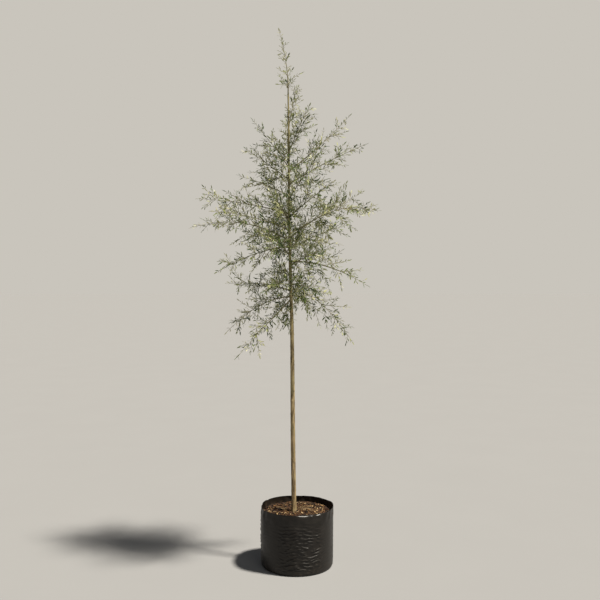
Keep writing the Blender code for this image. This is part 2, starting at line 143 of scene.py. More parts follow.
# Potting mix: bark and coir mulch, up to a little under the rim. It lies "sink" lower than the
# solid, in hummocks and lumps that level out towards the film. Each swell of its hummocks has a
# share of the whole, a number of times round, and a twist with the distance from the middle.
# Its lumps come in two sizes: how fine each is, its share, and where its noise is cut.
MIX_TOP = 0.215
MIX_SINK = 0.0015
MIX_HEAVE = 0.0025
MIX_SWELLS = ((1.0, 3.0, 40.0), (0.6, 5.0, -60.0))
MIX_LUMP = 0.00384
MIX_LUMPS = ((75.0, 1.0, 0.0), (190.0, 0.6, 3.0))
MIX_EDGE = (0.120, 0.144)
MIX_SIDES = 260
MIX_RINGS = 90

# Bark chips and strands of coir on it: their sizes, and how far they stay from the film, lie
# above the mix, and lean. A high power makes long or thick ones rare. A chip is ragged as its
# corners stray by this much round it and lie this far out, and its top stands unevenly.
CHIP_COUNT = 1500
CHIP_CORNERS = 6
CHIP_LENGTHS = (0.004, 0.019)
CHIP_POWER = 2.2
CHIP_SLIMNESS = (0.15, 0.42)
CHIP_LEAST_WIDTH = 0.0022
CHIP_FLATNESS = (0.15, 0.35)
CHIP_LEAST_THICKNESS = 0.0004
CHIP_MARGIN = 0.004
CHIP_LIFTS = (0.2, 1.2)
CHIP_PILE = 0.004
CHIP_LEAN = 0.32
CHIP_STRAY = 0.35
CHIP_REACHES = (0.75, 1.0)
CHIP_TOPS = (0.2, 0.7)
FIBRE_COUNT = 420
FIBRE_SIDES = 4
FIBRE_LENGTHS = (0.012, 0.048)
FIBRE_RADII = (0.0003, 0.0013)
FIBRE_POWER = 2.5
FIBRE_MARGIN = 0.006
FIBRE_LIFT = (0.0010, 0.0050)
FIBRE_LEAN = 0.12
FIBRE_CURL = 0.9
FIBRE_RISE = (0.02, 0.22)
FIBRE_STEPS = 5

# Mulch colours, and how often each turns up.
Mulch = namedtuple("Mulch", "name colour share")
CHIPS = (
    Mulch("chip_dark", (0.010, 0.004, 0.002), 0.44),
    Mulch("chip_red", (0.074, 0.024, 0.006), 0.26),
    Mulch("chip_brown", (0.115, 0.048, 0.013), 0.17),
    Mulch("chip_tan", (0.240, 0.120, 0.036), 0.08),
    Mulch("chip_cream", (0.600, 0.410, 0.200), 0.05),
)
FIBRES = (
    Mulch("fibre_tan", (0.210, 0.108, 0.035), 0.34),
    Mulch("fibre_brown", (0.105, 0.046, 0.015), 0.52),
    Mulch("fibre_cream", (0.560, 0.400, 0.210), 0.14),
)

# Trunk: height, sideways lean, lean to the back, and diameter, from the soil to the tip.
TRUNK_FOOT = MIX_TOP + GAP
TRUNK_LINE = (
    (TRUNK_FOOT, -0.0127, 0.000, 0.0275),
    (0.230, -0.0129, 0.000, 0.0222),
    (0.265, -0.0134, 0.001, 0.0196),
    (0.510, -0.0170, 0.004, 0.0186),
    (0.750, -0.0188, 0.001, 0.0172),
    (0.965, -0.0210, -0.003, 0.0152),
    (1.090, -0.0245, -0.001, 0.0134),
    (1.334, -0.0310, 0.003, 0.0112),
    (1.620, -0.0340, 0.001, 0.0090),
    (1.820, -0.0353, -0.002, 0.0074),
    (1.930, -0.0364, 0.000, 0.0058),
)
TRUNK_RINGS = 24

# Bark of the trunk: how finely it is meshed, how deep it stands in the mix, its furrows, the
# scars of its leaves in opposite pairs, and the knots where shoots were pruned off.
BARK_SIDES = 36
BARK_ROW = 0.0032
BARK_SUNK = 0.004
BARK_FURROW = 0.00045
FURROWS = ((330.0, 1.0), (900.0, 0.5))
FURROW_STRETCH = 0.10
SCAR_RISE = 0.0009
SCAR_RISES = (0.4, 1.0)
SCAR_SIZE = 0.0026
SCAR_SPACING = 0.034
SCAR_SPACINGS = (0.7, 1.3)
SCAR_STRAY = 0.2
KNOTS = 7
KNOT_RISE = 0.0022
KNOT_RISES = (0.6, 1.0)
KNOT_SIZE = 0.0052
KNOT_HEIGHTS = (0.36, 1.02)

# Shoots, from the lowest to the highest. Each leaves the trunk at the height "foot", heads off
# at "bearing" degrees (0 is the right, 90 the back), and its last leaf ends "reach" from the
# trunk at the height "tip". Its middle stands "arch" above the straight line between the two.
# "bare" is the share of its length that is a bough, and 0 starts the foliage at the trunk.
# "bushy" is how long its side twigs grow, as a share of the usual length.
Shoot = namedtuple("Shoot", "foot bearing reach tip arch bare bushy")
SHOOTS = (
    Shoot(1.066, 114, 0.175, 0.943, 0.010, 0.00, 1.0),
    Shoot(1.087, 222, 0.296, 0.854, 0.004, 0.25, 0.7),
    Shoot(1.098, 170, 0.292, 0.926, 0.040, 0.25, 0.9),
    Shoot(1.104, 68, 0.237, 1.033, 0.020, 0.00, 1.0),
    Shoot(1.122, 152, 0.326, 1.150, 0.015, 0.22, 1.0),
    Shoot(1.128, 20, 0.294, 0.873, 0.055, 0.24, 0.9),
    Shoot(1.146, 301, 0.233, 1.103, 0.015, 0.00, 1.0),
    Shoot(1.165, 244, 0.245, 1.114, 0.015, 0.00, 1.0),
    Shoot(1.190, 108, 0.263, 1.192, 0.015, 0.00, 1.0),
    Shoot(1.225, 307, 0.300, 1.294, 0.010, 0.24, 1.0),
    Shoot(1.243, 355, 0.335, 1.130, 0.030, 0.55, 1.1),
    Shoot(1.265, 254, 0.312, 1.327, 0.015, 0.24, 1.0),
    Shoot(1.280, 80, 0.346, 1.366, 0.015, 0.22, 1.0),
    Shoot(1.294, 45, 0.369, 1.412, 0.010, 0.22, 1.0),
    Shoot(1.304, 198, 0.322, 1.186, 0.022, 0.24, 1.0),
    Shoot(1.312, 128, 0.341, 1.354, 0.020, 0.22, 1.0),
    Shoot(1.326, 177, 0.421, 1.376, 0.052, 0.20, 0.9),
    Shoot(1.336, 351, 0.378, 1.442, 0.060, 0.20, 1.0),
    Shoot(1.356, 25, 0.356, 1.550, 0.000, 0.22, 1.0),
    Shoot(1.370, 207, 0.354, 1.434, 0.018, 0.22, 1.0),
    Shoot(1.400, 259, 0.305, 1.481, 0.010, 0.24, 1.0),
    Shoot(1.416, 107, 0.335, 1.586, 0.000, 0.22, 1.0),
    Shoot(1.425, 306, 0.311, 1.547, 0.005, 0.24, 1.0),
    Shoot(1.438, 171, 0.403, 1.506, 0.014, 0.20, 0.9),
    Shoot(1.500, 299, 0.252, 1.657, 0.000, 0.00, 1.0),
    Shoot(1.512, 193, 0.223, 1.592, 0.008, 0.00, 1.0),
    Shoot(1.560, 343, 0.335, 1.711, 0.010, 0.22, 1.0),
    Shoot(1.580, 145, 0.243, 1.738, 0.000, 0.00, 1.0),
    Shoot(1.613, 24, 0.297, 1.881, -0.012, 0.24, 0.6),
    Shoot(1.624, 250, 0.200, 1.722, 0.000, 0.00, 0.9),
    Shoot(1.645, 213, 0.183, 1.818, -0.004, 0.00, 0.7),
    Shoot(1.670, 96, 0.171, 1.869, 0.000, 0.00, 0.8),
    Shoot(1.690, 335, 0.100, 1.884, 0.006, 0.00, 0.8),
    Shoot(1.790, 47, 0.052, 1.978, 0.004, 0.00, 0.7),
)
# The last shoot carries the trunk on: where its last leaf ends, seen from the trunk's tip.
LEADER_TIP = Vector((-0.0425, 0.004, 0.277))
LEADER_SWAY = Vector((0.011, 0.0, 0.0))
LEADER_BUSHY = 0.45
LEADER_RADIUS = 0.0029

# Boughs: their sizes, how finely they are meshed, how much their girth varies, and how much
# they and the stems thicken where they leave the trunk.
BOUGH_FOOT_RADIUS = 0.0030
BOUGH_TIP_RADIUS = 0.0022
BOUGH_SIDES = 12
BOUGH_ROW = 0.004
BOUGH_GIRTHS = (0.95, 1.06)
COLLAR = 0.0024
COLLAR_LENGTH = 0.007
STEM_COLLAR = 0.7

# The rule of the masses, as the solids have it: one stem, side twigs, and sprays in pairs.
STEM_RADIUS = 0.0022
STEM_TIP_RADIUS = 0.0010
STEM_STEP = 0.090
TWIG_RADIUS = 0.0015
TWIG_TIP_RADIUS = 0.0009
TWIG_SPACING = 0.063
TWIG_OPENING = math.radians(46)
TWIG_SHARE = 0.46
TWIG_MOST = 0.120
TWIG_LEAST = 0.040
TWIG_STALK = 0.014
TWIG_OFFSET = 0.4
TWIG_END = 0.98
STEM_END = 0.995
SPRAY_LENGTH = 0.052
SPRAY_HALF = 0.0046
SPRAY_SUNK = 0.4
SPRAY_STALK = 0.009
SPRAY_SPACING = 0.048
SPRAY_BARE = 0.25
SPRAY_OPENING = math.radians(44)
SPRAY_ROLL = math.radians(52)
SPRAY_STAGGER = 0.006
PAIR_OFFSET = 0.25
LAST_PAIR = 0.97
GOLDEN_ANGLE = math.radians(137.5)

# How far pairs and twigs stray from their even turns, in radians, and the smallest and largest
# shares of their usual opening and length.
PAIR_STRAY = 0.3
TWIG_STRAY = 0.35
SPRAY_OPENINGS = (0.8, 1.2)
TWIG_OPENINGS = (0.85, 1.2)
TWIG_LENGTHS = (0.8, 1.1)

# A mass keeps its sprays this near its own stem, this little beyond its tip, and this clear of
# everything else.
MASS_ROOM = 0.130
OVERREACH = 0.008
CLEARANCE = 0.0012

# How finely curves are measured, and tested as rods against their neighbours. A direction this
# near to upright has +X for its level side. "Tiny" keeps parallel rods from a division by zero.
LINE_STEPS = 12
STEM_RODS = 8
STEM_ROD_RADIUS = 0.0023
NEARLY_UPRIGHT = 0.05
TINY = 1e-14

# Stems, twigs and sprays as meshes: their radii, how the stems taper and their girth varies, how
# finely all are meshed, and how far they bow aside as a share of their length.
SHOOT_TIP_RADIUS = 0.0006
SPRAY_RADIUS = 0.0008
STEM_TAPER = 1.4
STEM_GIRTHS = (0.93, 1.07)
STEM_SIDES = 8
STEM_ROW = 0.012
TWIG_SIDES = 6
TWIG_STEPS = 6
TWIG_SWAY = 0.03
FINE_SIDES = 4
FINE_ROW = 0.016
FINE_SWAY = 0.05
SPRAY_STEPS = 3
SPRAY_SWAY = 0.04

# The share of a spray that is twig, and how much of the rest its last leaf fills.
SPRAY_TWIG_SHARE = 0.60
SPRAY_LEAF_SHARE = 0.99

# A real leaf: its usual length, the least share of it and the spread above that, how slim it
# is, and how far its tip curls down and its edges fold up. Its upper face turns to the tip of
# its shoot and to the sky by these shares, and tilts from there at random. What would grow this
# near the trunk is left out.
LEAF_LENGTH = 0.0245
LEAF_LEAST = 0.76
LEAF_SPREAD = 0.55
LEAF_SLIMNESS = 0.215
LEAF_WIDTHS = (0.88, 1.14)
LEAF_THICKNESS = 0.0005
LEAF_CURLS = (-0.02, 0.13)
LEAF_FOLDS = (0.12, 0.38)
LEAF_TO_TIP = 0.8
LEAF_TO_SKY = 0.9
LEAF_TILT = 0.60
TRUNK_MARGIN = 0.002

# Leaves in opposite pairs, a quarter turn from pair to pair: how far they open, from the foot
# of their twig to its tip and at random, how far they stray, and how far the two of a pair
# stand apart. The first and last pairs on a twig are the smallest, some leaves are missing, and
# the single leaf at a fine twig's end measures a share between the last two values.
LEAF_OPENING = math.radians(47)
LEAF_OPENING_FOOT = 1.15
LEAF_OPENING_TIP = 0.75
LEAF_OPENINGS = (0.85, 1.2)
LEAF_STRAY = 0.25
LEAF_PAIR_STRAY = 0.2
LEAF_STAGGER = 0.0015
LEAF_SMALLEST = 0.72
LEAF_MISSING = 0.06
END_LEAVES = (0.6, 0.85)

# The shares of a limb's length where its leaves start and end, how far apart the pairs are,
# and their share of the usual size.
Leafing = namedtuple("Leafing", "first last spacing size")
STEM_LEAFING = Leafing(0.12, 1.0, 0.0165, 1.0)
TWIG_LEAFING = Leafing(0.16, 1.0, 0.0145, 1.0)
SPRAY_LEAFING = Leafing(0.22, 0.98, 0.0130, 0.84)
FINE_LEAFING = Leafing(0.10, 1.0, 0.0130, 0.90)

# Fine side twigs: how far apart they are, how much closer near the foot (1 is evenly), their
# share of the length still ahead of them, the most and the least that they measure, and from
# what length they branch again themselves. A stem is steep where it rises more than this share
# of its length at its middle.
Fine = namedtuple("Fine", "spacing crowding share most least branched")
FINE_ON_STEM = Fine(0.0180, 1.9, 0.60, 0.125, 0.014, 0.050)
FINE_ON_STEEP = Fine(0.0055, 1.1, 0.80, 0.060, 0.014, 0.060)
FINE_ON_TWIG = Fine(0.0350, 1.0, 0.50, 0.055, 0.014, 0.060)
FINE_ON_FINE = Fine(0.0240, 1.0, 0.50, 0.045, 0.012, 0.060)
STEEP = 0.85

# They start this far along a stem in metres, and at these shares of a twig or fine twig. Their
# places, turns, openings and lengths vary. A mass has fewer of them only when it is less bushy
# than usual by more than "spare".
FINE_BARE_STEM = 0.018
FINE_BARE_TWIG = 0.12
FINE_BARE_FINE = 0.2
FINE_SPARE = 0.2
FINE_PLACES = (0.2, 0.8)
FINE_STRAY = 0.5
FINE_OPENING = math.radians(52)
FINE_OPENINGS = (0.75, 1.25)
FINE_LENGTHS = (0.3, 1.1)

# A leaf's outline: how far along each station is, and its share of the full width.
LEAF_STATIONS = ((0.14, 0.28), (0.42, 1.00), (0.76, 0.72))

# Leaf colours: what shows from above, its underside, and how often a spray has it near the
# trunk and out at the ends of the shoots. The darker tints near the trunk are partly painted
# shade in the crown's middle, and the paler ones out at the ends partly painted light on its
# outside, besides paler new growth at the tips.
Tint = namedtuple("Tint", "name above below inner outer")
TINTS = (
    Tint("deep_green", (0.023, 0.050, 0.006), (0.160, 0.198, 0.066), 0.50, 0.09),
    Tint("olive_green", (0.061, 0.104, 0.015), (0.272, 0.308, 0.115), 0.29, 0.17),
    Tint("grey_green", (0.150, 0.188, 0.050), (0.440, 0.462, 0.214), 0.13, 0.32),
    # The pale upper face of this tint is a painted highlight: the look of sunlit, glinting leaves.
    Tint("silver_green", (0.400, 0.405, 0.205), (0.660, 0.635, 0.420), 0.05, 0.28),
    Tint("new_growth", (0.290, 0.318, 0.100), (0.525, 0.518, 0.278), 0.03, 0.14),
)

# Leaves turn to the outer colours as they grow further from the crown's middle line, or higher
# above its shoulder, up to this reach: painted light on the crown's outside and top, and
# painted shade in its middle.
CROWN_MIDDLE = -0.0310
CROWN_SHOULDER = 1.620
OUTER_REACH = 0.34

# The four pieces that the leaves are in, and the number of the mass that each begins with.
LEAF_PIECES = (("leaves_lowest", 0), ("leaves_low", 9), ("leaves_high", 16), ("leaves_highest", 23))

# Camera: level, where it stands, and the lens and shift that frame the tree.
CAMERA_PLACE = (0.012, -3.200, 1.170)
CAMERA_LENS = 46.72
CAMERA_SHIFT = -0.035

# The rest of the stage. A light has the side it comes from and its height in degrees, its
# strength, its softness in degrees, and its colour. The floor is rings round a middle disc.
Light = namedtuple("Light", "name bearing height strength softness colour")
LIGHTS = (
    Light("key_light", -20.0, 62.0, 6.0, 6.0, (1.0, 0.94, 0.83)),
    Light("fill_light", -62.0, 18.0, 0.30, 30.0, (1.0, 0.97, 0.90)),
)
LIGHT_DISTANCE = 4.0
FLOOR_SIDES = 96
FLOOR_RINGS = 24
FLOOR_MIDDLE = 0.5
FLOOR_RADIUS = 60.0
FLOOR_COLOUR = (0.314, 0.314, 0.317)
SKY_COLOUR = (0.95, 0.97, 1.00)
SKY_STRENGTH = 0.12
BACKDROP_COLOUR = (0.585, 0.557, 0.503)


# Materials


class Value:
    """A value on its way through a material, so that maths on it reads as Python."""

    def __init__(self, finish, socket):
        self.finish, self.socket = finish, socket

    def maths(self, operation, *values):
        return self.finish.node("Math", {"operation": operation}, dict(enumerate(values)))

    def __add__(self, other):
        return self.maths("ADD", self, other)

    def __sub__(self, other):
        return self.maths("SUBTRACT", self, other)

    def __rsub__(self, other):
        return self.maths("SUBTRACT", other, self)

    def __mul__(self, other):
        return self.maths("MULTIPLY", self, other)

    __radd__ = __add__
    __rmul__ = __mul__

    def ramp(self, low, high):
        """0 below the low value, 1 above the high one, and smooth between them."""
        values = {"Value": self, "From Min": low, "From Max": high}
        return self.finish.node("MapRange", {"interpolation_type": "SMOOTHSTEP"}, values)


class Finish:
    """A material: a Principled shader and the nodes that feed it."""

    def __init__(self, name, **constants):
        self.material = bpy.data.materials.new(name)
        self.material.use_nodes = True
        self.tree = self.material.node_tree
        self.shader = self.tree.nodes["Principled BSDF"]
        for socket, value in constants.items():
            self.shader.inputs[socket.replace("_", " ")].default_value = value

    def node(self, kind, settings=None, values=None, out=0):
        """Adds a node: its settings first, then the values or links of its sockets."""
        made = self.tree.nodes.new("ShaderNode" + kind)
        for setting, value in (settings or {}).items():
            if setting == "stops":
                self.set_stops(made.color_ramp, value)
            else:
                setattr(made, setting, value)
        for socket, value in (values or {}).items():
            self.feed(made.inputs[socket], value)
        return Value(self, made.outputs[out])

    def set_stops(self, ramp, stops):
        while len(ramp.elements) < len(stops):
            ramp.elements.new(0.5)
        for element, (position, colour) in zip(ramp.elements, stops):
            element.position = position
            element.color = (*colour, 1.0)

    def feed(self, socket, value):
        if isinstance(value, Value):
            self.tree.links.new(value.socket, socket)
        elif socket.type == "RGBA" and len(value) == 3:
            socket.default_value = (*value, 1.0)
        else:
            socket.default_value = value

    def set(self, **values):
        """Feeds the shader's own sockets."""
        for socket, value in values.items():
            self.feed(self.shader.inputs[socket.replace("_", " ")], value)

    def place(self, stretch=(1.0, 1.0, 1.0)):
        """Where a point is on the object, in metres, drawn out or squeezed along its axes."""
        where = self.node("TexCoord", out="Object")
        return self.node("VectorMath", {"operation": "MULTIPLY"}, {0: where, 1: stretch})

    def height(self):
        where = self.node("TexCoord", out="Object")
        return self.node("SeparateXYZ", None, {0: where}, out="Z")

    def noise(self, scale, detail=2.0, stretch=(1.0, 1.0, 1.0)):
        values = {"Vector": self.place(stretch), "Scale": scale, "Detail": detail}
        return self.node("TexNoise", None, values)

    def cells(self, scale, stretch):
        """How far a point is from the middle of its own small cell."""
        values = {"Vector": self.place(stretch), "Scale": scale}
        return self.node("TexVoronoi", None, values, out="Distance")

    def mix(self, share, first, second):
        """A colour between two others."""
        return self.node("Mix", {"data_type": "RGBA"}, {0: share, 6: first, 7: second}, out=2)

    def colours(self, share, *stops):
        return self.node("ValToRGB", {"stops": stops}, {0: share})

    def bump(self, height, distance):
        self.set(Normal=self.node("Bump", None, {"Height": height, "Distance": distance}))


def shaded(colour, share):
    """The same colour, darker or lighter."""
    return tuple(part * share for part in colour)


def black_film():
    """Satin film: scuffed in places, glossier at the rim, and a little dusty low down."""
    film = Finish("black_film", IOR=1.5, Specular_IOR_Level=0.28)
    scuff = film.noise(24.0, detail=5.0, stretch=(1.0, 1.0, 1.8)).ramp(0.45, 0.75)
    dust = film.noise(70.0, detail=6.0).ramp(0.50, 0.78)
    low = 1.0 - film.height().ramp(0.0, 0.060)
    rim = film.height().ramp(BAG_HEIGHT - 0.009, BAG_HEIGHT - 0.002)
    clean = film.mix(scuff, (0.0125, 0.0106, 0.0086), (0.0200, 0.0172, 0.0142))
    film.set(Base_Color=film.mix(dust * (low * 0.45 + 0.04), clean, (0.095, 0.072, 0.050)))
    film.set(Roughness=scuff * 0.10 + dust * low * 0.25 + 0.40 - rim * 0.12)
    film.bump(film.noise(900.0, detail=2.0) * 0.35 + film.noise(150.0, detail=3.0), 0.00020)
    return film.material


def dusty_film():
    """The film's inside above the mix, dull with dried dust."""
    film = Finish("dusty_film", IOR=1.5, Specular_IOR_Level=0.16)
    dust = film.noise(55.0, detail=6.0)
    stain = film.noise(16.0, detail=3.0)
    low = 1.0 - film.height().ramp(MIX_TOP - 0.006, MIX_TOP + 0.012)
    clean = film.mix(stain, (0.012, 0.009, 0.006), (0.026, 0.020, 0.015))
    settled = dust.ramp(0.42, 0.72) * (low * 0.7 + 0.15)
    film.set(Base_Color=film.mix(settled, clean, (0.095, 0.062, 0.036)))
    film.set(Roughness=dust * 0.25 + 0.38)
    film.bump(dust, 0.00030)
    return film.material


def moist_mix():
    """The dark mix between the chips."""
    mix = Finish("moist_potting_mix")
    grain = mix.noise(240.0, detail=6.0)
    clod = mix.noise(55.0, detail=3.0)
    browns = (
        (0.30, (0.006, 0.003, 0.001)),
        (0.52, (0.026, 0.011, 0.004)),
        (0.66, (0.080, 0.033, 0.011)),
        (0.80, (0.170, 0.085, 0.032)),
    )
    mix.set(Base_Color=mix.colours(grain * 0.65 + clod * 0.35, *browns))
    mix.set(Roughness=0.95 - clod * 0.15)
    mix.bump(grain, 0.0018)
    return mix.material


def chip_finish(name, colour):
    """Split bark or wood: streaks along the piece, and a rough torn face."""
    chip = Finish(name)
    streak = chip.noise(420.0, detail=4.0, stretch=(1.0, 0.35, 1.0))
    chip.set(Base_Color=chip.mix(streak.ramp(0.35, 0.65), shaded(colour, 0.55), colour))
    chip.set(Roughness=streak * 0.2 + 0.72)
    chip.bump(streak, 0.0006)
    return chip.material


def bark_finish(name, dark, light, patch, pore):
    """Bark: furrows and fine cracks along the limb, smoother patches and pale pores.

    The dark and the light of it are pairs: low on the tree, and high on it.
    """
    bark = Finish(name)
    streak = bark.noise(210.0, detail=5.0, stretch=(1.0, 1.0, 0.10))
    smoother = bark.noise(30.0, detail=3.0, stretch=(1.0, 1.0, 0.35))
    young = bark.height().ramp(0.25, 1.55)
    pores = 1.0 - bark.cells(270.0, stretch=(1.0, 1.0, 2.2)).ramp(0.10, 0.26)
    wood = bark.mix(streak.ramp(0.38, 0.65), bark.mix(young, *dark), bark.mix(young, *light))
    wood = bark.mix(smoother.ramp(0.50, 0.72) * 0.55, wood, patch)
    bark.set(Base_Color=bark.mix(pores * 0.65, wood, pore))
    bark.set(Roughness=0.86 - smoother * 0.22)
    bark.bump(streak + pores * 0.5 + bark.noise(900.0) * 0.25, 0.00055)
    return bark.material


def olive_bark():
    """The trunk's bark: grey-brown and furrowed below, smoother and greener above."""
    dark = ((0.118, 0.074, 0.032), (0.108, 0.088, 0.032))
    light = ((0.450, 0.330, 0.165), (0.375, 0.318, 0.145))
    return bark_finish("olive_bark", dark, light, (0.310, 0.272, 0.120), (0.540, 0.430, 0.260))


def young_bark():
    """The boughs' bark, greener than the trunk's and the same at any height."""
    # Darker than the trunk's bark, partly as painted shade on the boughs inside the crown.
    dark, light = (0.125, 0.108, 0.056), (0.310, 0.275, 0.155)
    patch, pore = (0.200, 0.195, 0.100), (0.380, 0.330, 0.215)
    return bark_finish("young_bark", (dark, dark), (light, light), patch, pore)


def twig_bark():
    """Green wood of this and last year, greyer on the older stretches."""
    twig = Finish("twig_bark")
    patch = twig.noise(45.0, detail=4.0)
    grain = twig.noise(500.0, detail=3.0)
    green = twig.mix(grain.ramp(0.35, 0.65), (0.125, 0.128, 0.056), (0.280, 0.275, 0.145))
    twig.set(Base_Color=twig.mix(patch.ramp(0.42, 0.62), green, (0.270, 0.232, 0.145)))
    twig.set(Roughness=grain * 0.25 + 0.60)
    twig.bump(grain, 0.00018)
    return twig.material


def leaf_above(tint):
    """The upper face: leathery, with a soft gloss."""
    leaf = Finish("leaf_" + tint.name, Specular_IOR_Level=0.40)
    blotch = leaf.noise(160.0, detail=2.0)
    darker, lighter = shaded(tint.above, 0.84), shaded(tint.above, 1.16)
    leaf.set(Base_Color=leaf.mix(blotch.ramp(0.30, 0.70), darker, lighter))
    leaf.set(Roughness=blotch * 0.15 + 0.31)
    leaf.bump(leaf.noise(900.0), 0.00008)
    return leaf.material


def leaf_below(tint):
    """The underside: pale, matt and finely felted."""
    leaf = Finish("leaf_back_" + tint.name, Sheen_Weight=0.25, Sheen_Roughness=0.5)
    felt = leaf.noise(700.0, detail=3.0)
    darker = shaded(tint.below, 0.88)
    leaf.set(Base_Color=leaf.mix(felt.ramp(0.30, 0.70), darker, tint.below))
    leaf.set(Roughness=felt * 0.15 + 0.74)
    leaf.bump(felt, 0.00006)
    return leaf.material


def pale_floor():
    floor = Finish("pale_floor", Specular_IOR_Level=0.0)
    mottle = floor.noise(2.5, detail=6.0)
    floor.set(Base_Color=floor.mix(mottle, FLOOR_COLOUR, shaded(FLOOR_COLOUR, 1.04)))
    floor.set(Roughness=mottle * 0.1 + 0.85)
    return floor.material


# Meshes made from arrays


def placed(name, data):
    """A new object in the scene."""
    made = bpy.data.objects.new(name, data)
    bpy.context.scene.collection.objects.link(made)
    return made


class Work:
    """Points and faces gathered for one piece, with the finish of each face."""

    def __init__(self):
        self.points, self.faces, self.finishes = [], [], []
        self.count = 0

    def add(self, points, faces, finish=0):
        """Adds a block of points, and faces that count from the block's first point."""
        for block in faces:
            self.faces.append(np.asarray(block) + self.count)
            self.finishes.append(np.broadcast_to(finish, len(block)))
        self.points.append(points)
        self.count += len(points)

    def piece(self, name, slot, finishes, sharp=math.radians(40)):
        """The joined mesh, riding on the tree."""
        mesh = bpy.data.meshes.new(name)
        faces = [face for block in self.faces for face in block.tolist()]
        mesh.from_pydata(np.concatenate(self.points).tolist(), [], faces)
        mesh.polygons.foreach_set("material_index", np.concatenate(self.finishes).astype(int))
        for finish in finishes:
            mesh.materials.append(finish)
        mesh.update()
        mesh.shade_smooth()
        mesh.set_sharp_from_angle(angle=sharp)
        made = placed(name, mesh)
        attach(made, BODY)
        return made


def spread(low, high, steps):
    """Even steps from one value to another, with both ends."""
    return [low + (high - low) * k / steps for k in range(steps + 1)]


def smooth(low, high, value):
    """0 below the low value, 1 above the high one, and smooth between them."""
    share = np.clip((value - low) / (high - low), 0.0, 1.0)
    return share * share * (3.0 - 2.0 * share)


def ring_faces(rings, sides):
    """The faces of a tube whose rings of points follow one another."""
    ring = np.arange(sides)
    after = (ring + 1) % sides
    starts = (np.arange(rings - 1) * sides)[:, None]
    corners = (ring, after, after + sides, ring + sides)
    return np.stack([starts + corner for corner in corners], axis=2).reshape(-1, 4)


def fan_faces(centre, first, sides, flip=False):
    """Triangles from a centre point to a ring of points."""
    ring = np.arange(sides)
    after = (ring + 1) % sides
    ends = (after, ring) if flip else (ring, after)
    centres = np.full(sides, centre)
    return np.stack((centres, first + ends[0], first + ends[1]), axis=1)


def wavy_field(draw, waves):
    """A wandering field round the bag and up it, of even swing, from a few random waves."""
    parts = []
    for _ in range(waves.count):
        around = round(draw.gauss(0.0, waves.around))
        up = draw.gauss(0.0, waves.up)
        parts.append((around, up, draw.uniform(0.0, 2.0 * math.pi)))

    def field(angle, height):
        total = sum(np.cos(around * angle + up * height + start) for around, up, start in parts)
        return total * math.sqrt(2.0 / waves.count)

    return field


def turned_from(angle, middle):
    """How far an angle is turned from the middle one, the short way round."""
    return (angle - middle + math.pi) % (2.0 * math.pi) - math.pi


# Grow bag


def bag_radius(height):
    """The outer radius: a rounded bottom edge, and a wall that widens a little to the top."""
    lift = np.maximum(0.0, BAG_CORNER - height)
    corner = BAG_CORNER - np.sqrt(BAG_CORNER**2 - lift**2)
    return BAG_RADIUS + BAG_FLARE * height / BAG_HEIGHT - corner


def wrinkles(angle, height):
    """Sharp little folds round the bag, in zones, that fade towards rim and bottom."""
    draw = random.Random(SEED)
    folds = 0.0 * angle * height
    for spacing in WRINKLE_SPACINGS:
        wander = wavy_field(draw, WANDER_WAVES)
        ripple = wavy_field(draw, RIPPLE_WAVES)
        patch = wavy_field(draw, PATCH_WAVES)
        phase = 2.0 * math.pi * height / spacing
        phase = phase + WRINKLE_WANDER * wander(angle, height)
        phase = phase + WRINKLE_RIPPLE * ripple(angle, height)
        crest = (0.5 + 0.5 * np.sin(phase)) ** WRINKLE_CREST
        folds = np.maximum(folds, crest * smooth(*PATCH_EDGE, patch(angle, height)))
    fade = smooth(*WRINKLE_LOW, height) * (1.0 - WRINKLE_LOSS * smooth(*WRINKLE_HIGH, height))
    zone = smooth(*ZONE_EDGE, np.cos(WRINKLE_ZONES * (angle - WRINKLE_FRONT)))
    depth = WRINKLE_DEPTH * (ZONE_LEAST + (1.0 - ZONE_LEAST) * zone)
    return depth * (folds - WRINKLE_LEVEL) * fade


def dents(angle, height):
    """Broad dents, a crumpled strip above the mix, and one pleat at the back."""
    draw = random.Random(SEED + 4)
    broad = wavy_field(draw, DENT_WAVES)
    crumple = wavy_field(draw, CRUMPLE_WAVES)
    above_mix = smooth(MIX_TOP - CRUMPLE_STRIP, MIX_TOP, height)
    aside = (angle - PLEAT_BEARING) * BAG_RADIUS
    pleat = np.exp(-((aside / PLEAT_WIDTH) ** 2)) * smooth(*PLEAT_RISE, height)
    depth = DENT_DEPTH * smooth(*DENT_LOW, height) * broad(angle, height)
    return depth + CRUMPLE_DEPTH * above_mix * crumple(angle, height) - PLEAT_DEPTH * pleat


def rim_wave(angle, height):
    """Above the mix the film waves in and out, and its rim rises and falls a little."""
    share = np.maximum(0.0, (height - MIX_TOP) / (BAG_HEIGHT - MIX_TOP))
    swing = sum(part * np.sin(times * angle + start) for part, times, start in RIM_WAVES)
    return BAG_RIM_WAVE * share * swing


def roll_radius(angle):
    """How broadly the film's edge rolls inwards, all round the rim."""
    radius = ROLL_LEAST + 0.0 * angle
    for bearing, width, swell in ROLLS:
        aside = turned_from(angle, math.radians(bearing))
        radius = radius + swell * np.exp(-((aside / math.radians(width)) ** 2))
    return np.minimum(radius, ROLL_MOST)


def rolled_edge(radius, turns):
    """How far in and down the rolled edge lies, at each step of its turn."""
    turns = turns[:, None]
    return radius * (1.0 - np.cos(turns)), -radius * (1.0 - np.sin(turns))


